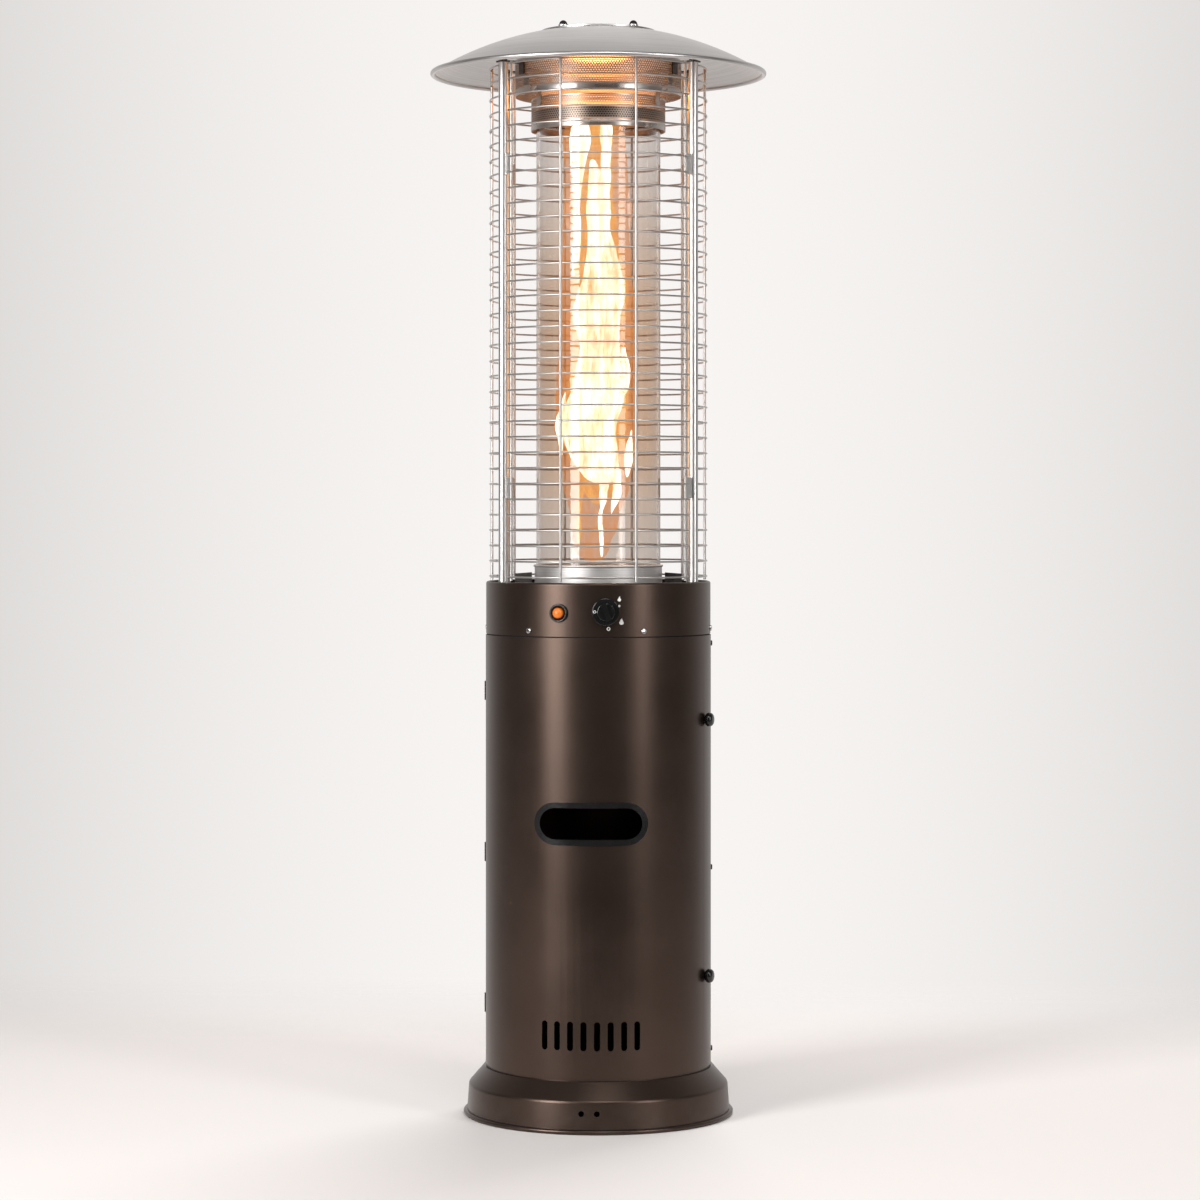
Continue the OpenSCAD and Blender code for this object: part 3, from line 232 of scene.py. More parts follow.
grainMix = {
    "fleckScale": 2.3, "slowShare": 0.6, "fleckShare": 0.4, "tone": (0.35, 0.65), "rub": (0.3, 0.7),
    "line": (0.25, 0.75), "cloud": (0.3, 0.7),
    "dustScale": 34.0, "dustPatch": (0.38, 0.68), "stainScale": 26.0, "stainCloud": (0.3, 0.7, 0.35, 1),
}


def buildPaintGrain():
    # orange-peel height, slow tone drift and rubbed patches of a coated or moulded surface
    tree, entry, leave = startGroup(
        "paintGrain",
        [("Place", "NodeSocketVector"), ("Grain", "NodeSocketFloat"), ("Drift", "NodeSocketFloat")],
        ["Tone", "Rub", "Height"])
    fine = noise(tree, entry["Place"], entry["Grain"], 2.0)
    slow = noise(tree, entry["Place"], entry["Drift"], 4.0)
    fleckScale = mathNode(tree, "MULTIPLY", entry["Grain"], grainMix["fleckScale"])
    flecks = noise(tree, entry["Place"], fleckScale, 1.0)
    tone = mathNode(tree, "MULTIPLY", slow, grainMix["slowShare"])
    tone = mathNode(tree, "ADD", tone, mathNode(tree, "MULTIPLY", flecks, grainMix["fleckShare"]))
    tree.links.new(spread(tree, tone, *grainMix["tone"], 0, 1), leave["Tone"])
    tree.links.new(spread(tree, slow, *grainMix["rub"], 0, 1), leave["Rub"])
    tree.links.new(fine, leave["Height"])
    return tree


def buildMetalGrain():
    # drawn or brushed lines along the direction in which Place is stretched, with cloudy handling marks
    tree, entry, leave = startGroup(
        "metalGrain",
        [("Place", "NodeSocketVector"), ("Lines", "NodeSocketVector"), ("Clouds", "NodeSocketFloat")],
        ["Line", "Cloud"])
    stretched = addNode(tree, "ShaderNodeVectorMath", {"operation": "MULTIPLY"},
                        {0: entry["Place"], 1: entry["Lines"]}).outputs[0]
    line = noise(tree, stretched, 1.0, 3.0, 0.65)
    cloud = noise(tree, entry["Place"], entry["Clouds"], 4.0)
    tree.links.new(spread(tree, line, *grainMix["line"], 0, 1), leave["Line"])
    tree.links.new(spread(tree, cloud, *grainMix["cloud"], 0, 1), leave["Cloud"])
    return tree


def buildDustFilm():
    # grey film that gathers below a height
    tree, entry, leave = startGroup(
        "dustFilm",
        [("Place", "NodeSocketVector"), ("Height", "NodeSocketFloat"), ("Amount", "NodeSocketFloat")],
        ["Dust"])
    up = addNode(tree, "ShaderNodeSeparateXYZ", None, {0: entry["Place"]}).outputs["Z"]
    low = mathNode(tree, "SUBTRACT", 1.0, mathNode(tree, "DIVIDE", up, entry["Height"]))
    low = mathNode(tree, "MAXIMUM", low, 0.0)
    patches = noise(tree, entry["Place"], grainMix["dustScale"], 5.0)
    patches = spread(tree, patches, *grainMix["dustPatch"], 0, 1)
    dust = mathNode(tree, "MULTIPLY", mathNode(tree, "MULTIPLY", low, patches), entry["Amount"])
    tree.links.new(dust, leave["Dust"])
    return tree


def buildHeatStain():
    # straw and bronze discolouring between two heights
    tree, entry, leave = startGroup(
        "heatStain",
        [("Place", "NodeSocketVector"), ("From", "NodeSocketFloat"), ("To", "NodeSocketFloat")],
        ["Stain"])
    up = addNode(tree, "ShaderNodeSeparateXYZ", None, {0: entry["Place"]}).outputs["Z"]
    ramp = addNode(tree, "ShaderNodeMapRange", {"clamp": True},
                   {"Value": up, "From Min": entry["From"], "From Max": entry["To"]}).outputs[0]
    clouds = noise(tree, entry["Place"], grainMix["stainScale"], 4.0)
    clouds = spread(tree, clouds, *grainMix["stainCloud"])
    tree.links.new(mathNode(tree, "MULTIPLY", ramp, clouds), leave["Stain"])
    return tree


paintGrain = buildPaintGrain()
metalGrain = buildMetalGrain()
dustFilm = buildDustFilm()
heatStain = buildHeatStain()
print("surface effects ready")


# finishes
reliefDepth = {"coated": 0.0003, "metal": 0.0001}
coatRoughness = 0.12


def startFinish(name):
    material = bpy.data.materials.new(name)
    material.use_nodes = True
    tree = material.node_tree
    shader = tree.nodes["Principled BSDF"]
    place = addNode(tree, "ShaderNodeTexCoord").outputs["Object"]
    return material, tree, shader, place


def useGroup(tree, group, values):
    return addNode(tree, "ShaderNodeGroup", {"node_tree": group}, values).outputs


def addBump(tree, shader, height, strength, depth):
    bump = addNode(tree, "ShaderNodeBump", None,
                   {"Height": height, "Strength": strength, "Distance": depth})
    tree.links.new(bump.outputs[0], shader.inputs["Normal"])


def coatedFinish(name, look):
    material, tree, shader, place = startFinish(name)
    grain = useGroup(tree, paintGrain, {"Place": place, "Grain": look["grain"], "Drift": look["drift"]})
    dust = useGroup(tree, dustFilm,
                    {"Place": place, "Height": look["dustHeight"], "Amount": look["dustAmount"]})
    colour = blendColours(tree, grain["Tone"], look["dark"], look["light"])
    colour = blendColours(tree, dust["Dust"], colour, look["dust"])
    tree.links.new(colour, shader.inputs["Base Color"])
    rough = spread(tree, grain["Rub"], 0, 1, *look["rough"])
    tree.links.new(rough, shader.inputs["Roughness"])
    addBump(tree, shader, grain["Height"], look["bump"], reliefDepth["coated"])
    shader.inputs["Metallic"].default_value = look["metal"]
    shader.inputs["Specular IOR Level"].default_value = look["gloss"]
    shader.inputs["Coat Weight"].default_value = look["coat"]
    shader.inputs["Coat Roughness"].default_value = coatRoughness
    return material


def metalFinish(name, look):
    material, tree, shader, place = startFinish(name)
    grain = useGroup(tree, metalGrain,
                     {"Place": place, "Lines": look["lines"], "Clouds": look["clouds"]})
    stain = useGroup(tree, heatStain,
                     {"Place": place, "From": look["stainFrom"], "To": look["stainTo"]})
    colour = blendColours(tree, grain["Line"], look["dark"], look["light"])
    stained = mathNode(tree, "MULTIPLY", stain["Stain"], look["stainAmount"])
    colour = blendColours(tree, stained, colour, look["stain"])
    tree.links.new(colour, shader.inputs["Base Color"])
    rough = spread(tree, grain["Cloud"], 0, 1, *look["rough"])
    tree.links.new(rough, shader.inputs["Roughness"])
    addBump(tree, shader, grain["Line"], look["bump"], reliefDepth["metal"])
    shader.inputs["Metallic"].default_value = 1.0
    return material


clean = {"dustHeight": 0.1, "dustAmount": 0.0}
unstained = {"stainFrom": 1.9, "stainTo": 2.0, "stainAmount": 0.0}
bronzePaint = {
    "dark": (0.064, 0.0428, 0.0333, 1), "light": (0.081, 0.055, 0.0435, 1),
    "dust": (0.11, 0.09, 0.08, 1),
    "grain": 950, "drift": 7, "rough": (0.30, 0.35), "bump": 0.08, "metal": 0.9, "gloss": 0.5,
    "coat": 0.0, "dustHeight": 0.06, "dustAmount": 0.35,
}
glossBlack = {
    "dark": (0.006, 0.006, 0.006, 1), "light": (0.011, 0.010, 0.010, 1), "dust": (0.12, 0.11, 0.10, 1),
    "grain": 700, "drift": 22, "rough": (0.14, 0.22), "bump": 0.04, "metal": 0.0, "gloss": 0.4,
    "coat": 0.15, **clean,
}
mattBlack = {
    "dark": (0.012, 0.011, 0.011, 1), "light": (0.024, 0.022, 0.021, 1), "dust": (0.12, 0.11, 0.10, 1),
    "grain": 1300, "drift": 40, "rough": (0.36, 0.5), "bump": 0.22, "metal": 0.0, "gloss": 0.5,
    "coat": 0.0, **clean,
}
blackMetal = {
    "dark": (0.014, 0.013, 0.013, 1), "light": (0.030, 0.028, 0.027, 1), "dust": (0.15, 0.12, 0.10, 1),
    "grain": 1600, "drift": 30, "rough": (0.3, 0.42), "bump": 0.12, "metal": 0.3, "gloss": 0.5,
    "coat": 0.0, **clean,
}
# black of the hinges, pins and dome nuts, also used as painted shade on the glass retainer and the mid
# hoop
blackFittingAndShade = {
    "dark": (0.008, 0.007, 0.007, 1), "light": (0.018, 0.016, 0.015, 1), "dust": (0.12, 0.11, 0.10, 1),
    "grain": 1200, "drift": 40, "rough": (0.62, 0.74), "bump": 0.15, "metal": 0.0, "gloss": 0.2,
    "coat": 0.0, **clean,
}
orangeButton = {
    "dark": (0.74, 0.16, 0.012, 1), "light": (0.86, 0.22, 0.02, 1), "dust": (0.5, 0.3, 0.2, 1),
    "grain": 1800, "drift": 70, "rough": (0.2, 0.28), "bump": 0.05, "metal": 0.0, "gloss": 0.5,
    "coat": 0.25, **clean,
}
burnerIron = {
    "dark": (0.020, 0.018, 0.017, 1), "light": (0.060, 0.050, 0.043, 1), "dust": (0.2, 0.1, 0.06, 1),
    "grain": 500, "drift": 60, "rough": (0.55, 0.8), "bump": 0.5, "metal": 0.6, "gloss": 0.4,
    "coat": 0.0, **clean,
}
gasketFibre = {
    "dark": (0.16, 0.15, 0.14, 1), "light": (0.36, 0.34, 0.31, 1), "dust": (0.2, 0.18, 0.16, 1),
    "grain": 1400, "drift": 90, "rough": (0.8, 0.95), "bump": 0.8, "metal": 0.0, "gloss": 0.2,
    "coat": 0.0, **clean,
}
electrodeCeramic = {
    "dark": (0.62, 0.60, 0.55, 1), "light": (0.78, 0.76, 0.71, 1), "dust": (0.3, 0.25, 0.2, 1),
    "grain": 900, "drift": 120, "rough": (0.25, 0.4), "bump": 0.1, "metal": 0.0, "gloss": 0.5,
    "coat": 0.2, **clean,
}
cupSteel = {
    "dark": (0.56, 0.545, 0.53, 1), "light": (0.72, 0.705, 0.69, 1), "stain": (0.44, 0.31, 0.19, 1),
    "lines": (3, 3, 900), "clouds": 12, "rough": (0.46, 0.56), "bump": 0.06,
    **unstained,
}
satinSteel = {
    "dark": (0.51, 0.495, 0.485, 1), "light": (0.69, 0.673, 0.658, 1), "stain": (0.44, 0.31, 0.19, 1),
    "lines": (3, 3, 900), "clouds": 9, "rough": (0.30, 0.38), "bump": 0.05,
    **unstained,
}
collarSteel = {
    "dark": (0.25, 0.225, 0.205, 1), "light": (0.41, 0.375, 0.345, 1), "stain": (0.30, 0.18, 0.10, 1),
    "lines": (4, 4, 1100), "clouds": 16, "rough": (0.36, 0.48), "bump": 0.05,
    "stainFrom": 1.74, "stainTo": 1.60, "stainAmount": 0.55,
}
bandSteel = {
    "dark": (0.37, 0.355, 0.34, 1), "light": (0.53, 0.51, 0.49, 1), "stain": (0.34, 0.22, 0.12, 1),
    "lines": (4, 4, 1100), "clouds": 16, "rough": (0.24, 0.34), "bump": 0.05,
    "stainFrom": 1.71, "stainTo": 1.60, "stainAmount": 0.25,
}
postSteel = {
    "dark": (0.58, 0.57, 0.56, 1), "light": (0.76, 0.75, 0.74, 1), "stain": (0.44, 0.31, 0.19, 1),
    "lines": (1500, 1500, 5), "clouds": 14, "rough": (0.32, 0.40), "bump": 0.03,
    **unstained,
}
wireSteel = {
    "dark": (0.40, 0.385, 0.37, 1), "light": (0.60, 0.585, 0.57, 1), "stain": (0.35, 0.22, 0.13, 1),
    "lines": (700, 700, 700), "clouds": 30, "rough": (0.30, 0.42), "bump": 0.08,
    "stainFrom": 0.9, "stainTo": 1.7, "stainAmount": 0.12,
}
darkSteel = {
    "dark": (0.055, 0.050, 0.047, 1), "light": (0.120, 0.110, 0.102, 1), "stain": (0.16, 0.09, 0.05, 1),
    "lines": (160, 160, 500), "clouds": 20, "rough": (0.38, 0.52), "bump": 0.10,
    **unstained,
}
screwSteel = {
    "dark": (0.56, 0.55, 0.54, 1), "light": (0.74, 0.73, 0.72, 1), "stain": (0.3, 0.2, 0.1, 1),
    "lines": (900, 900, 900), "clouds": 120, "rough": (0.16, 0.28), "bump": 0.05,
    **unstained,
}
castAluminium = {
    "dark": (0.36, 0.36, 0.35, 1), "light": (0.52, 0.52, 0.51, 1), "stain": (0.3, 0.2, 0.1, 1),
    "lines": (420, 420, 420), "clouds": 60, "rough": (0.4, 0.55), "bump": 0.35,
    **unstained,
}
turnedBrass = {
    "dark": (0.47, 0.31, 0.10, 1), "light": (0.66, 0.47, 0.19, 1), "stain": (0.2, 0.1, 0.04, 1),
    "lines": (60, 60, 1400), "clouds": 60, "rough": (0.22, 0.36), "bump": 0.08,
    **unstained,
}
heaterGlass = {
    # the middle tint, between the smoky and the cool one, is painted flame glow: orange where the flame
    # lights the glass
    "smoky": (0.80, 0.755, 0.72, 1), "paintedFlameGlow": (0.81, 0.675, 0.565, 1), "cool": (0.87, 0.845, 0.83, 1),
    "heights": (0.93, 1.08, 1.30, 1.60), "streak": (0.72, 0.65, 0.60, 1),
    "ior": 1.36, "rough": (0.0, 0.012), "smear": 5.0, "smearRange": (0.4, 0.75),
    "streakLines": (120, 120, 1.5), "streakClouds": 9, "streakAmount": 0.35,
}


def glassFinish(name, look):
    # brown tint that turns orange where the flame is strongest, a painted glow of the flame, and pales
    # above it; with faint upright streaks
    material, tree, shader, place = startFinish(name)
    smear = noise(tree, place, look["smear"], 3.0)
    rough = spread(tree, smear, *look["smearRange"], *look["rough"])
    tree.links.new(rough, shader.inputs["Roughness"])
    up = addNode(tree, "ShaderNodeSeparateXYZ", None, {0: place}).outputs["Z"]
    low, glowFrom, glowTo, top = look["heights"]
    # smoky low down, then the painted flame glow between the second and third heights, then cool above
    colour = blendColours(tree, spread(tree, up, low, glowFrom, 0, 1), look["smoky"], look["paintedFlameGlow"])
    colour = blendColours(tree, spread(tree, up, glowTo, top, 0, 1), colour, look["cool"])
    streaks = useGroup(tree, metalGrain,
                       {"Place": place, "Lines": look["streakLines"], "Clouds": look["streakClouds"]})
    streaked = mathNode(tree, "MULTIPLY", streaks["Line"], look["streakAmount"])
    colour = blendColours(tree, streaked, colour, look["streak"])
    tree.links.new(colour, shader.inputs["Base Color"])
    shader.inputs["IOR"].default_value = look["ior"]
    shader.inputs["Transmission Weight"].default_value = 1.0
    clear = addNode(tree, "ShaderNodeBsdfTransparent", None, {"Color": look["cool"]})
    path = addNode(tree, "ShaderNodeLightPath")
    mix = addNode(tree, "ShaderNodeMixShader", None,
                  {0: path.outputs["Is Shadow Ray"], 1: shader.outputs[0], 2: clear.outputs[0]})
    tree.links.new(mix.outputs[0], tree.nodes["Material Output"].inputs["Surface"])
    return material


finishes = {
    "bronze_paint": coatedFinish("bronzePaint", bronzePaint),
    "black_gloss": coatedFinish("glossBlack", glossBlack),
    "black_matte": coatedFinish("mattBlack", mattBlack),
    "black_metal": coatedFinish("blackMetal", blackMetal),
    "orange_button": coatedFinish("orangeButton", orangeButton),
    "burner_iron": coatedFinish("burnerIron", burnerIron),
    "gasket_fibre": coatedFinish("gasketFibre", gasketFibre),
    "electrode_ceramic": coatedFinish("electrodeCeramic", electrodeCeramic),
    "stainless": metalFinish("satinSteel", satinSteel),
    "post_steel": metalFinish("postSteel", postSteel),
    "wire_steel": metalFinish("wireSteel", wireSteel),
    "dark_steel": metalFinish("darkSteel", darkSteel),
    "screw_steel": metalFinish("screwSteel", screwSteel),
    "valve_aluminium": metalFinish("castAluminium", castAluminium),
    "brass": metalFinish("turnedBrass", turnedBrass),
    "clear_glass": glassFinish("heaterGlass", heaterGlass),
}
collarFinish = metalFinish("collarSteel", collarSteel)
bandFinish = metalFinish("bandSteel", bandSteel)
cupFinish = metalFinish("cupSteel", cupSteel)
blackFittingAndShadeFinish = coatedFinish("blackFittingAndShade", blackFittingAndShade)


def dressNodes():
    # each imported node already names its slot in its material from model.glb
    for node in cadNodes.values():
        for place in node.material_slots:
            place.material = finishes[place.material.name.split(".")[0]]
    # the outlet's straps are bright like the collars' rims, and the ring behind the holes is made black as
    # painted shade inside the collar
    cadNodes["collar_straps"].material_slots[0].material = bandFinish
    cadNodes["glass_retainer"].material_slots[0].material = blackFittingAndShadeFinish
    cadNodes["burner_cup"].material_slots[0].material = cupFinish
    cadNodes["guard_clamps"].material_slots[0].material = finishes["wire_steel"]
    # hinges, pins and dome nuts are black; the mid hoop gets the same black as a painted shadow in the
    # seam it lies behind
    for name in ("hinge_leaves_body", "hinge_leaves_door", "hinge_pins", "dome_nuts", "mid_hoop"):
        cadNodes[name].material_slots[0].material = blackFittingAndShadeFinish


dressNodes()
print("finishes on", len(cadNodes), "CAD nodes")


# modelling helpers
def clearSelection():
    if bpy.context.object and bpy.context.object.mode != "OBJECT":
        bpy.ops.object.mode_set(mode="OBJECT")
    bpy.ops.object.select_all(action="DESELECT")


def pick(piece):
    clearSelection()
    piece.select_set(True)
    bpy.context.view_layer.objects.active = piece


def settle(piece, name):
    # the place of a finished piece goes into its mesh
    pick(piece)
    bpy.ops.object.transform_apply(location=True, rotation=True, scale=True)
    piece.name = name
    piece.data.name = name
    return piece


def smooth(piece, angle=35):
    pick(piece)
    bpy.ops.object.shade_smooth_by_angle(angle=math.radians(angle))


def useModifier(piece, kind, settings):
    pick(piece)
    bpy.ops.object.modifier_add(type=kind)
    modifier = piece.modifiers[-1]
    for key, value in settings.items():
        setattr(modifier, key, value)
    bpy.ops.object.modifier_apply(modifier=modifier.name)


def closeMesh(piece, reach=0.000002):
    pick(piece)
    bpy.ops.object.mode_set(mode="EDIT")
    bpy.ops.mesh.select_all(action="SELECT")
    bpy.ops.mesh.remove_doubles(threshold=reach)
    bpy.ops.mesh.normals_make_consistent(inside=False)
    bpy.ops.object.mode_set(mode="OBJECT")


def turnOnLathe(name, outline, steps):
    # outline points are (radius, height); an outline that leaves the axis is led back to its start
    clearSelection()
    bpy.ops.mesh.primitive_plane_add(size=0.001, location=(0, 0, 0))
    piece = bpy.context.object
    bpy.ops.object.mode_set(mode="EDIT")
    bpy.ops.mesh.select_mode(type="VERT")
    bpy.ops.mesh.select_all(action="SELECT")
    bpy.ops.mesh.merge(type="CENTER")
    bpy.ops.transform.translate(value=(outline[0][0], 0, outline[0][1]))
    onAxis = outline[0][0] == 0 and outline[-1][0] == 0
    route = outline if onAxis else outline + outline[:1]
    for before, after in zip(route, route[1:]):
        step = (after[0] - before[0], 0, after[1] - before[1])
        bpy.ops.mesh.extrude_vertices_move(TRANSFORM_OT_translate={"value": step})
    bpy.ops.mesh.select_all(action="SELECT")
    bpy.ops.mesh.spin(steps=steps, angle=math.tau, center=(0, 0, 0), axis=(0, 0, 1))
    bpy.ops.object.mode_set(mode="OBJECT")
    closeMesh(piece)
    smooth(piece)
    return settle(piece, name)


def arc(centreX, centreY, radius, start, stop, steps):
    angles = [math.radians(start + (stop - start) * i / steps) for i in range(steps + 1)]
    return [(centreX + radius * math.cos(a), centreY + radius * math.sin(a)) for a in angles]


def standOnWall(piece, azimuth, distance, height, name):
    # a piece that faces up is laid on the round wall so that it faces outwards
    turn = math.radians(azimuth)
    along = Vector((math.cos(turn), math.sin(turn), 0))
    outward = Vector((math.sin(turn), -math.cos(turn), 0))
    place = Matrix((along, (0, 0, 1), outward)).transposed().to_4x4()
    place.translation = outward * distance + Vector((0, 0, height))
    piece.matrix_world = place
    return settle(piece, name)


def copyOf(piece):
    pick(piece)
    bpy.ops.object.duplicate(linked=False)
    return bpy.context.object


def cutAway(piece, cutter):
    settle(cutter, "cutter")
    useModifier(piece, "BOOLEAN", {"object": cutter, "operation": "DIFFERENCE", "solver": "EXACT"})
    pick(cutter)
    bpy.ops.object.delete()


def gather(name, parts):
    pick(parts[0])
    for part in parts:
        part.select_set(True)
    bpy.ops.object.join()
    return settle(bpy.context.object, name)


def dress(piece, finish, body, nodes=()):
    piece.data.materials.clear()
    piece.data.materials.append(finish)
    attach(piece, body)
    if nodes:
        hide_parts(*nodes)
    print("piece ready:", piece.name, len(piece.data.polygons), "faces")


# base skirt: one pressed sheet with a soft fold and a rolled lip; sizes in mm
skirtLook = {
    "foot": 216.0, "lipHeight": 8.0, "lipAt": 218.0, "lipRadius": 4.0, "lipSteps": 12,
    "fold": (213.0, 51.0), "softness": 9.0, "foldSteps": 10,
    "top": (188.0, 79.5), "ledge": 38.0, "wall": 2.0, "steps": 160,
    "anchors": (-12.5, 12.5), "anchorHeight": 33.0, "anchorRadius": 4.5, "anchorDepth": 24.0,
    "anchorSides": 32,
}


def roundCorner(before, corner, after, radius, steps):
    # the arc that takes a corner's place between two straight runs
    corner = Vector(corner)
    back = (Vector(before) - corner).normalized()
    ahead = (Vector(after) - corner).normalized()
    half = back.angle(ahead) / 2
    centre = corner + (back + ahead).normalized() * radius / math.sin(half)
    start = corner + back * radius / math.tan(half) - centre
    stop = corner + ahead * radius / math.tan(half) - centre
    angles = [math.degrees(math.atan2(end.y, end.x)) for end in (start, stop)]
    return arc(centre.x, centre.y, radius, angles[0], angles[1], steps)


def pressSkirt():
    look = skirtLook
    topR, topZ = look["top"]
    foldR, foldZ = look["fold"]
    wall = look["wall"]
    outline = [(look["foot"] - wall, 0)]
    outline += arc(look["lipAt"], look["lipRadius"], look["lipRadius"], -90, 90, look["lipSteps"])
    outline += [(look["foot"], look["lipHeight"])]
    outline += roundCorner(outline[-1], look["fold"], look["top"], look["softness"], look["foldSteps"])
    outline += [(topR, topZ), (topR - look["ledge"], topZ), (topR - look["ledge"], topZ - wall)]
    outline += [(topR - wall, topZ - wall), (foldR - wall, foldZ - wall / 2)]
    piece = turnOnLathe("pressedSkirt", [(x / 1000, z / 1000) for x, z in outline], look["steps"])
    for across in look["anchors"]:
        clearSelection()
        spot = (across / 1000, -look["foot"] / 1000, look["anchorHeight"] / 1000)
        bpy.ops.mesh.primitive_cylinder_add(
            vertices=look["anchorSides"], radius=look["anchorRadius"] / 1000,
            depth=look["anchorDepth"] / 1000, location=spot, rotation=(math.pi / 2, 0, 0))
        cutAway(piece, bpy.context.object)
    smooth(piece)
    dress(piece, finishes["bronze_paint"], "heater", ["base_skirt"])


pressSkirt()


# shade: one spun dome with a rolled rim
shadeLook = {
    "bead": 0.004, "beadFrom": 22, "beadTo": -238, "beadSteps": 20,
    "wall": 0.0012, "rings": 48, "steps": 144, "outerStop": 0.35, "innerStart": 0.45,
}


def spinShade():
    look = shadeLook
    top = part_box("shade")[1].z
    rimLow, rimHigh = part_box("shade_rim")
    reach = rimHigh.x - look["bead"]
    rimHeight = (rimLow.z + rimHigh.z) / 2
    rise = top - rimHeight
    dome = (reach ** 2 + rise ** 2) / (2 * rise)
    centre = top - dome
    rim = 90 - math.degrees(math.asin(reach / dome))
    outer = arc(0, centre, dome, 90, rim + look["outerStop"], look["rings"])
    bead = arc(reach, rimHeight, look["bead"], rim + look["beadFrom"], rim + look["beadTo"],
               look["beadSteps"])
    inner = arc(0, centre, dome - look["wall"], rim + look["innerStart"], 90, look["rings"])
    outer[0] = (0, outer[0][1])
    inner[-1] = (0, inner[-1][1])
    piece = turnOnLathe("spunShade", outer + bead + inner, look["steps"])
    dress(piece, finishes["stainless"], "heater", ["shade", "shade_rim"])


spinShade()


# outlet collars: punched sheet held between plain rolled bands
punching = {
    "pitch": 0.0044, "holeShare": 0.68, "sides": 12, "sheet": 0.0006, "set": 0.0005, "lap": 0.002,
    "weld": 0.00004,
}
rolling = {"wall": 0.0012, "edgeSteps": 6, "steps": 128}
lowerCollar = {
    "node": "lower_collar", "sheet": "punchedLowerCollar", "rims": "lowerCollarBands",
    "bands": [(0.000, 0.0115), (0.0495, 0.053)],
}
upperCollar = {
    "node": "upper_collar", "sheet": "punchedUpperCollar", "rims": "upperCollarBands",
    "bands": [(0.000, 0.0110), (0.0515, 0.057)],
}


def punchSheet(radius, low, high):
    # one hole in its six-sided tile, set out in staggered rows
    across = round(math.tau * radius / punching["pitch"])
    pitch = math.tau * radius / across
    corner = pitch / math.sqrt(3)
    pairs = max(1, round((high - low) / (3 * corner)))
    flat = (math.pi / 2, 0, 0)
    clearSelection()
    bpy.ops.mesh.primitive_circle_add(vertices=6, radius=corner, location=(0, 0, 0), rotation=flat)
    piece = bpy.context.object
    bpy.ops.object.transform_apply(location=True, rotation=True, scale=True)
    bpy.ops.object.mode_set(mode="EDIT")
    bpy.ops.mesh.select_all(action="SELECT")
    bpy.ops.mesh.subdivide(number_cuts=punching["sides"] // 6 - 1)
    hole = pitch / 2 * punching["holeShare"]
    bpy.ops.mesh.primitive_circle_add(vertices=punching["sides"], radius=hole, location=(0, 0, 0),
                                      rotation=flat)
    bpy.ops.mesh.select_all(action="SELECT")
    bpy.ops.mesh.bridge_edge_loops()
    bpy.ops.mesh.select_all(action="SELECT")
    bpy.ops.mesh.duplicate_move(TRANSFORM_OT_translate={"value": (pitch / 2, 0, 1.5 * corner)})
    bpy.ops.object.mode_set(mode="OBJECT")
    rows = {"fit_type": "FIXED_COUNT", "use_relative_offset": False, "use_constant_offset": True}
    useModifier(piece, "ARRAY", {**rows, "count": pairs, "constant_offset_displace": (0, 0, 3 * corner)})
    useModifier(piece, "ARRAY", {**rows, "count": across, "constant_offset_displace": (pitch, 0, 0)})
    # stretched to its height, then rolled into a ring
    tall = pairs * 3 * corner + corner / 2
    piece.scale = (1, 1, (high - low) / tall)
    piece.location = (0, 0, low + corner * (high - low) / tall)
    settle(piece, "punchedSheet")
    bend = piece.dimensions.x / radius
    useModifier(piece, "SIMPLE_DEFORM", {"deform_method": "BEND", "deform_axis": "Z", "angle": bend})
    piece.location = (0, -radius, 0)
    settle(piece, "punchedSheet")
    closeMesh(piece, punching["weld"])
    useModifier(piece, "SOLIDIFY",
                {"thickness": punching["sheet"], "offset": -1, "use_even_offset": True})
    return piece


def rollBand(radius, low, high):
    edge = rolling["wall"] / 2
    outline = arc(radius - edge, low + edge, edge, -180, 0, rolling["edgeSteps"])
    outline += arc(radius - edge, high - edge, edge, 0, 180, rolling["edgeSteps"])
    return turnOnLathe("rolledBand", outline, rolling["steps"])


def makeCollar(look):
    low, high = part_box(look["node"])
    bands = [rollBand(high.x, low.z + start, low.z + stop) for start, stop in look["bands"]]
    sheetLow = low.z + look["bands"][0][1] - punching["lap"]
    sheetHigh = low.z + look["bands"][1][0] + punching["lap"]
    sheet = punchSheet(high.x - punching["set"], sheetLow, sheetHigh)
    dress(settle(sheet, look["sheet"]), collarFinish, "heater", [look["node"]])
    dress(gather(look["rims"], bands), bandFinish, "heater")


makeCollar(lowerCollar)
makeCollar(upperCollar)
print("head pieces ready")


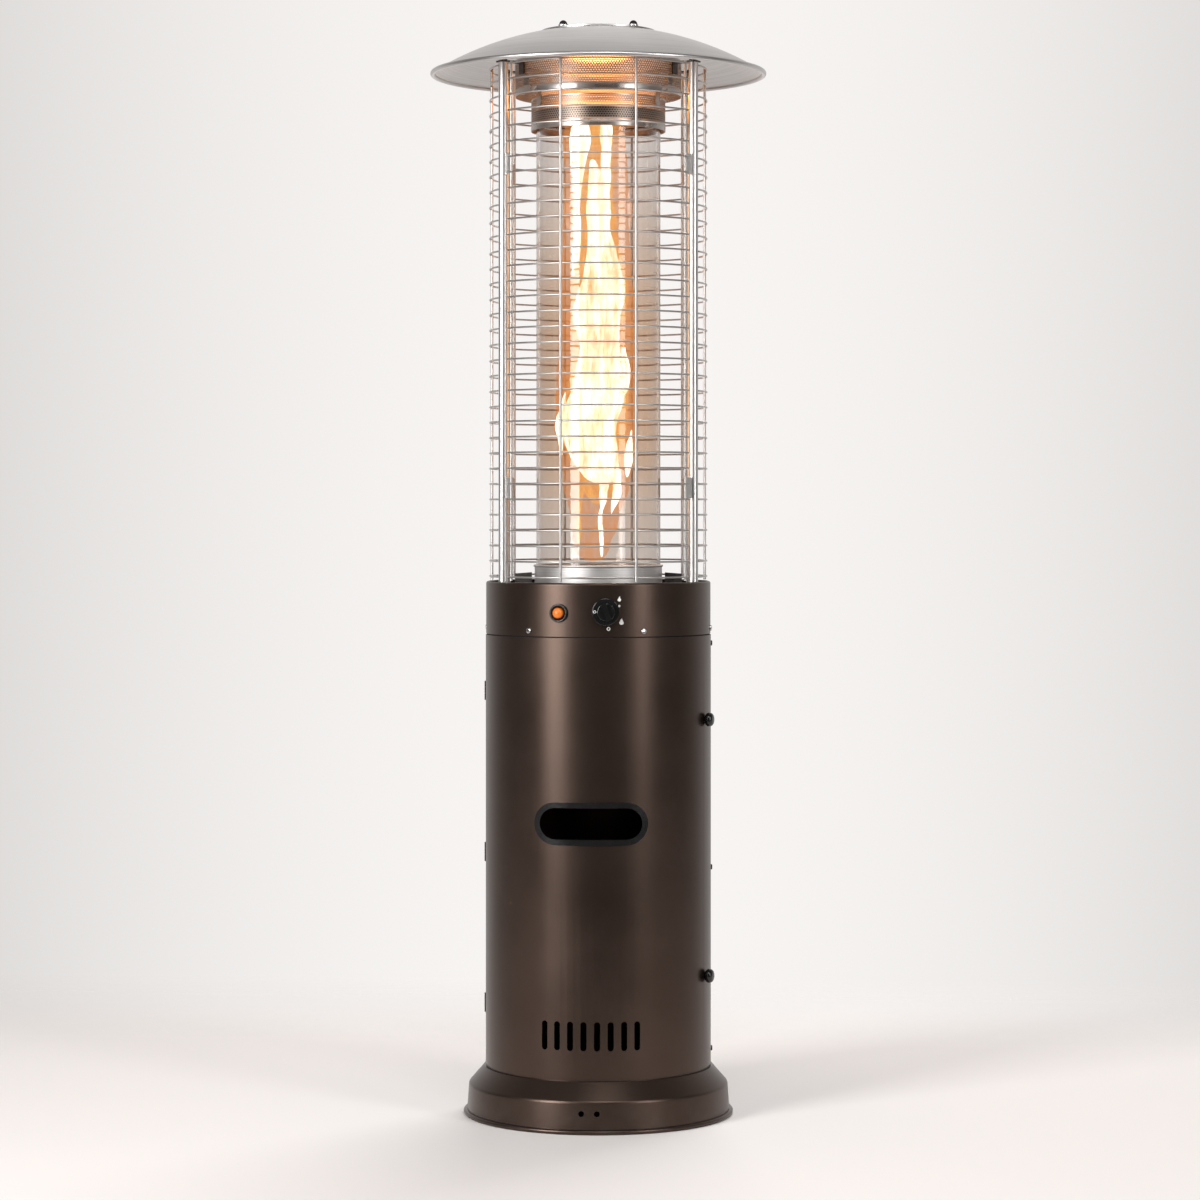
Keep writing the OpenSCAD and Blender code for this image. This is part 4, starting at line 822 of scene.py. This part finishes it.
# flame: tongues with a pale heart, inside a thin orange veil
# stations are (height, across, half width) in mm
flame = {
    "sides": 14, "rounding": 2, "ruffleScale": 0.032,
    "ruffle": {"core": 0.008, "body": 0.008, "veil": 0.014},
    "tongues": {
        "heart": {"depth": 0.60, "back": 0, "grade": "core", "line": [
            (1034, 6, 12), (1045, 4, 28), (1068, -2, 38), (1093, -10, 44), (1119, -18, 45),
            (1147, -14, 50), (1170, -5, 49), (1198, 2, 46), (1227, 5, 42), (1255, 0, 32), (1289, 3, 35),
            (1313, -6, 44),
            (1347, 5, 40), (1380, 9, 34), (1414, 5, 27), (1447, 4, 18), (1481, -2, 21), (1515, -2, 17),
            (1545, -6, 11), (1572, -10, 5)]},
        "leftRibbon": {"depth": 0.7, "back": 8, "grade": "core", "line": [
            (1376, -42, 2), (1414, -38, 6), (1447, -36, 7), (1481, -36, 7), (1515, -36, 8),
            (1548, -34, 10), (1582, -32, 15), (1610, -30, 17), (1640, -28, 13)]},
        "rightRibbon": {"depth": 0.8, "back": -6, "grade": "core", "line": [
            (1440, 16, 2), (1481, 15, 6), (1515, 12, 8), (1548, 13, 7), (1582, 13, 8), (1612, 14, 10),
            (1642, 15, 8)]},
        "leftTongue": {"depth": 0.8, "back": -4, "grade": "core", "line": [
            (1082, -60, 2), (1100, -62, 4), (1125, -63, 6), (1147, -62, 7), (1165, -58, 5),
            (1190, -54, 2)]},
        "rightTongue": {"depth": 0.9, "back": 5, "grade": "core", "line": [
            (1046, 47, 2), (1062, 49, 6), (1078, 50, 8), (1093, 50, 7), (1108, 53, 4), (1126, 55, 2)]},
        "rightShoulder": {"depth": 0.8, "back": -3, "grade": "core", "line": [
            (1180, 43, 4), (1204, 46, 7), (1227, 47, 7), (1243, 44, 5), (1262, 42, 2)]},
        "leftStrand": {"depth": 1.0, "back": 6, "grade": "body", "line": [
            (930, -33, 2), (948, -32, 4), (968, -33, 4), (988, -32, 4), (1008, -31, 5), (1028, -29, 6),
            (1052, -24, 8), (1075, -20, 6)]},
        "midStrand": {"depth": 1.0, "back": -6, "grade": "core", "line": [
            (914, 6, 2), (934, 6, 3), (952, 5, 4), (970, 3, 3), (988, 4, 4), (1004, 8, 5), (1022, 10, 8),
            (1044, 9, 10), (1066, 6, 8)]},
        "rightStrand": {"depth": 0.9, "back": 2, "grade": "core", "line": [
            (984, 21, 2), (1000, 24, 4), (1014, 29, 6), (1028, 31, 8), (1046, 31, 9), (1070, 28, 8)]},
        "body": {"depth": 0.72, "back": 0, "grade": "body", "line": [
            (1000, 2, 10), (1022, 3, 30), (1045, 3, 38), (1075, -2, 47), (1110, -8, 55), (1147, -9, 58),
            (1185, -1, 55), (1227, 4, 50), (1260, 0, 42), (1300, 0, 47), (1347, 3, 48), (1390, 3, 45),
            (1430, -3, 40), (1481, -8, 36), (1530, -9, 35), (1580, -9, 36), (1618, -8, 34),
            (1646, -8, 24)]},
        "veil": {"depth": 0.85, "back": 0, "grade": "veil", "line": [
            (908, -8, 18), (925, -14, 30), (960, -8, 36), (1000, -3, 46), (1050, -1, 58), (1100, -3, 67),
            (1150, -4, 71), (1210, -1, 69), (1270, -2, 62), (1330, -1, 64), (1400, -2, 60), (1480, -4, 54),
            (1560, -5, 54), (1620, -5, 52), (1655, -5, 40)]},
    },
}
flameGrades = {
    "core": {"pale": (1.0, 0.95, 0.82, 1), "deep": (0.50, 0.29, 0.11, 1), "strength": 4.4,
             "heat": (0.12, 0.42), "thin": (0.30, 0.72), "clear": (0.75, 1.0)},
    "body": {"pale": (1.0, 0.60, 0.19, 1), "deep": (0.8, 0.34, 0.08, 1), "strength": 1.5,
             "heat": (0.0, 1.0), "thin": (0.30, 0.72), "clear": (0.15, 0.70)},
    "veil": {"pale": (1.0, 0.42, 0.11, 1), "deep": (0.8, 0.28, 0.07, 1), "strength": 1.0,
             "heat": (0.0, 1.0), "thin": (0.30, 0.72), "clear": (0.16, 0.55)},
}
flameStreaks = {"lines": (85, 85, 9), "clouds": 18, "lineShare": 0.65, "cloudShare": 0.35}
flameLamps = {
    "colour": (1.0, 0.36, 0.07), "radius": 0.07,
    "places": {"low": (1.13, 3.0), "middle": (1.30, 3.0), "high": (1.50, 2.5), "outlet": (1.69, 2.2)},
}


def flameFinish(name, grade):
    # streaks run upwards; the thin places let the background through
    material, tree, shader, place = startFinish(name)
    streaks = useGroup(tree, metalGrain,
                       {"Place": place, "Lines": flameStreaks["lines"], "Clouds": flameStreaks["clouds"]})
    cloudy = mathNode(tree, "MULTIPLY", streaks["Cloud"], flameStreaks["cloudShare"])
    mixed = mathNode(tree, "MULTIPLY", streaks["Line"], flameStreaks["lineShare"])
    mixed = mathNode(tree, "ADD", mixed, cloudy)
    heat = spread(tree, mixed, *grade["heat"], 0, 1)
    glow = blendColours(tree, heat, grade["deep"], grade["pale"])
    tree.links.new(glow, shader.inputs["Emission Color"])
    thin = spread(tree, mixed, *grade["thin"], *grade["clear"])
    tree.links.new(thin, shader.inputs["Alpha"])
    shader.inputs["Emission Strength"].default_value = grade["strength"]
    shader.inputs["Base Color"].default_value = (0, 0, 0, 1)
    shader.inputs["Roughness"].default_value = 1.0
    shader.inputs["Specular IOR Level"].default_value = 0.0
    return material


def growTongue(name, look):
    stations = [(z / 1000, x / 1000, half / 1000) for z, x, half in look["line"]]
    back = look["back"] / 1000
    first = stations[0]
    clearSelection()
    bpy.ops.mesh.primitive_circle_add(vertices=flame["sides"], radius=first[2], fill_type="NGON",
                                      location=(first[1], back, first[0]))
    piece = bpy.context.object
    bpy.ops.object.mode_set(mode="EDIT")
    bpy.ops.mesh.select_all(action="SELECT")
    for before, after in zip(stations, stations[1:]):
        step = (after[1] - before[1], 0, after[0] - before[0])
        bpy.ops.mesh.extrude_region_move(TRANSFORM_OT_translate={"value": step})
        grow = after[2] / before[2]
        bpy.ops.transform.resize(value=(grow, grow, 1), center_override=(after[1], back, after[0]))
    bpy.ops.mesh.select_all(action="SELECT")
    bpy.ops.transform.resize(value=(1, look["depth"], 1), center_override=(0, back, 0))
    bpy.ops.mesh.normals_make_consistent(inside=False)
    bpy.ops.object.mode_set(mode="OBJECT")
    useModifier(piece, "SUBSURF", {"levels": flame["rounding"], "render_levels": flame["rounding"]})
    return settle(piece, name)


def ruffle(piece, depth):
    texture = bpy.data.textures.new("flameRuffle", "CLOUDS")
    texture.noise_scale = flame["ruffleScale"]
    useModifier(piece, "DISPLACE", {"texture": texture, "strength": depth, "mid_level": 0.5,
                                    "texture_coords": "LOCAL"})
    smooth(piece, 180)


def lightFlame():
    grades = {}
    for name, look in flame["tongues"].items():
        tongue = growTongue(name, look)
        ruffle(tongue, flame["ruffle"][look["grade"]])
        grades.setdefault(look["grade"], []).append(tongue)
    for grade, tongues in grades.items():
        piece = gather("flame" + grade.title(), tongues)
        dress(piece, flameFinish("flame" + grade.title(), flameGrades[grade]), "heater")


def hangFlameLamps():
    # warm light that the flame throws on the guard and the collars
    for name, (height, power) in flameLamps["places"].items():
        clearSelection()
        bpy.ops.object.light_add(type="POINT", location=(0, 0, height))
        lamp = bpy.context.object
        lamp.name = "flameLamp_" + name
        lamp.data.energy = power
        lamp.data.color = flameLamps["colour"]
        lamp.data.shadow_soft_size = flameLamps["radius"]
        lamp.visible_camera = False
        lamp.visible_transmission = False


lightFlame()
hangFlameLamps()
print("flame lit")


# igniter: dished bezel round the button
bezelLook = {
    "azimuth": -16, "height": 0.828, "wall": 0.1851, "bore": 0.0088, "sleeve": 0.0118, "back": -0.010,
    "outer": 0.015, "round": 0.0019, "stand": 0.004, "dish": 0.0008, "dishLip": 0.0003,
    "roundTo": 130, "roundSteps": 12, "steps": 64,
}


def turnBezel():
    look = bezelLook
    crown = look["outer"] - look["round"]
    outline = [(look["bore"], look["back"]), (look["sleeve"], look["back"])]
    outline += [(look["sleeve"], 0), (look["outer"], 0)]
    outline += arc(crown, look["stand"] - look["round"], look["round"], 0, look["roundTo"],
                   look["roundSteps"])
    outline += [(look["bore"] + look["dishLip"], look["dish"])]
    piece = turnOnLathe("igniterBezelRing", outline, look["steps"])
    standOnWall(piece, look["azimuth"], look["wall"], look["height"], "igniterBezelRing")
    dress(piece, finishes["black_gloss"], "heater", ["igniter_bezel"])


turnBezel()


# latch knobs: fat buttons close to the door, on a shaft through it
latchLook = {
    "azimuth": 74, "wall": 0.1856, "shaft": 0.004, "shaftEnd": -0.0248, "clear": 0.0005,
    "round": 0.0067, "middle": (0.0048, 0.0073), "crown": 0.014, "roundFrom": -75, "roundTo": 80,
    "roundSteps": 18, "steps": 48,
    "knobs": {"latchKnobUpper": ("latch_upper", "latch_knob_upper", 0.651),
              "latchKnobLower": ("latch_lower", "latch_knob_lower", 0.233)},
}


def turnLatchKnobs():
    look = latchLook
    outline = [(0, look["shaftEnd"]), (look["shaft"], look["shaftEnd"]), (look["shaft"], look["clear"])]
    outline += arc(*look["middle"], look["round"], look["roundFrom"], look["roundTo"], look["roundSteps"])
    outline += [(0, look["crown"])]
    for name, (body, node, height) in look["knobs"].items():
        piece = turnOnLathe(name, outline, look["steps"])
        standOnWall(piece, look["azimuth"], look["wall"], height, name)
        dress(piece, finishes["black_gloss"], body, [node])


turnLatchKnobs()


# dial marks: raised print round the knob; places are (right, up) of the knob's middle in mm
dialMarks = {
    "knobAzimuth": 7.5, "knobHeight": 0.830, "wall": 0.18500, "thick": 0.0003, "skirtFace": 0.1935,
    "drops": [(22.5, 19.5, 2.9, 1.5), (26.0, -17.0, 3.6, 1.8)],
    "dots": [(22.5, 9.5, 1.8)],
    "rings": [(5.0, -27.0, 3.0)],
    "pointer": (-18.0, 0.4, 2.5),
    "sides": 32, "ringWidth": 0.42,
}
# a drop is a disc drawn out above its shoulder, with a narrow tip that leans to the right
dropShape = {
    "shoulder": 0.3, "narrow": 0.75, "tipFrom": 0.85, "tipLean": 0.35, "tipLift": 0.7, "tipNarrow": 0.4,
}
dialPrint = {
    "dark": (0.70, 0.69, 0.67, 1), "light": (0.82, 0.81, 0.79, 1), "dust": (0.5, 0.48, 0.45, 1),
    "grain": 2200, "drift": 160, "rough": (0.4, 0.55), "bump": 0.1, "metal": 0.0, "gloss": 0.4,
    "coat": 0.0, **clean,
}
printFinish = coatedFinish("dialPrint", dialPrint)


def selectBy(piece, test):
    # vertices that pass the test, picked for the next edit
    pick(piece)
    bpy.ops.object.mode_set(mode="EDIT")
    bpy.ops.mesh.select_mode(type="VERT")
    bpy.ops.mesh.select_all(action="DESELECT")
    bpy.ops.object.mode_set(mode="OBJECT")
    for vertex in piece.data.vertices:
        vertex.select = test(vertex.co)
    bpy.ops.object.mode_set(mode="EDIT")


def cutMark(radius, stretch=1.0, hollow=False):
    clearSelection()
    bpy.ops.mesh.primitive_circle_add(vertices=dialMarks["sides"], radius=radius, fill_type="NGON",
                                      location=(0, 0, 0))
    mark = bpy.context.object
    if stretch > 1:
        shoulder = radius * dropShape["shoulder"]
        tip = radius * stretch * dropShape["tipFrom"]
        lean = radius * dropShape["tipLean"]
        selectBy(mark, lambda spot: spot.y > shoulder)
        bpy.ops.transform.resize(value=(dropShape["narrow"], stretch, 1), center_override=(0, shoulder, 0))
        selectBy(mark, lambda spot: spot.y > tip)
        bpy.ops.transform.translate(value=(lean, radius * dropShape["tipLift"], 0))
        bpy.ops.transform.resize(value=(dropShape["tipNarrow"], 1, 1), center_override=(lean, 0, 0))
    bpy.ops.object.mode_set(mode="EDIT")
    bpy.ops.mesh.select_mode(type="FACE")
    bpy.ops.mesh.select_all(action="SELECT")
    if hollow:
        bpy.ops.mesh.inset(thickness=radius * dialMarks["ringWidth"])
        bpy.ops.mesh.delete(type="FACE")
        bpy.ops.mesh.select_all(action="SELECT")
    bpy.ops.mesh.extrude_region_move(TRANSFORM_OT_translate={"value": (0, 0, dialMarks["thick"])})
    bpy.ops.mesh.select_all(action="SELECT")
    bpy.ops.mesh.normals_make_consistent(inside=False)
    bpy.ops.object.mode_set(mode="OBJECT")
    return mark


def placeMark(mark, right, up, wall):
    turn = dialMarks["knobAzimuth"] + math.degrees(right / 1000 / wall)
    return standOnWall(mark, turn, wall, dialMarks["knobHeight"] + up / 1000, "dialMark")


def printDial():
    marks = []
    for right, up, radius, stretch in dialMarks["drops"]:
        marks.append(placeMark(cutMark(radius / 1000, stretch), right, up, dialMarks["wall"]))
    for right, up, radius in dialMarks["dots"]:
        marks.append(placeMark(cutMark(radius / 1000), right, up, dialMarks["wall"]))
    for right, up, radius in dialMarks["rings"]:
        marks.append(placeMark(cutMark(radius / 1000, 1.0, True), right, up, dialMarks["wall"]))
    dress(gather("dialMarks", marks), printFinish, "heater")
    right, up, radius = dialMarks["pointer"]
    turn = math.radians(dialMarks["knobAzimuth"])
    ring = cutMark(radius / 1000, 1.0, True)
    standOnWall(ring, dialMarks["knobAzimuth"], dialMarks["skirtFace"],
                dialMarks["knobHeight"] + up / 1000, "knobPointer")
    ring.location = (math.cos(turn) * right / 1000, math.sin(turn) * right / 1000, 0)
    dress(settle(ring, "knobPointer"), printFinish, "knob")


printDial()


# pan-head screws with a cross recess
screwLook = {
    "radius": 0.0045, "head": 0.0028, "shank": 0.0019, "length": 0.008,
    "cross": (0.0054, 0.0012), "recess": 0.0014, "crown": 0.0001,
    "roundTo": 80, "roundSteps": 6, "steps": 28, "smooth": 30,
}
screwRows = {
    "panelScrewHeads": {"node": "panel_screws", "wall": 0.1851, "finish": finishes["screw_steel"],
                        "places": [(27 + 60 * i, 0.799) for i in range(6)]},
    "shellScrewHeads": {"node": "shell_screws", "wall": 0.1857, "finish": finishes["dark_steel"],
                        "places": [(97, 0.104), (97, 0.403), (97, 0.773)]},
}


def turnScrew():
    look = screwLook
    outline = [(0, -look["length"]), (look["shank"], -look["length"])]
    outline += [(look["shank"], 0), (look["radius"], 0)]
    half = look["head"] / 2
    outline += arc(look["radius"] - half, half, half, 0, look["roundTo"], look["roundSteps"])
    outline += [(0, look["head"] + look["crown"])]
    screw = turnOnLathe("panScrew", outline, look["steps"])
    for turn in (0, math.pi / 2):
        clearSelection()
        bpy.ops.mesh.primitive_cube_add(size=1, location=(0, 0, look["head"]), rotation=(0, 0, turn))
        cutter = bpy.context.object
        cutter.scale = (look["cross"][0], look["cross"][1], 2 * look["recess"])
        cutAway(screw, cutter)
    smooth(screw, look["smooth"])
    return screw


def setScrews():
    screw = turnScrew()
    for name, row in screwRows.items():
        heads = []
        for azimuth, height in row["places"]:
            heads.append(standOnWall(copyOf(screw), azimuth, row["wall"], height, "screwHead"))
        dress(gather(name, heads), row["finish"], "heater", [row["node"]])
    pick(screw)
    bpy.ops.object.delete()


setScrews()
print("controls and screws ready")


print("scene dressed")
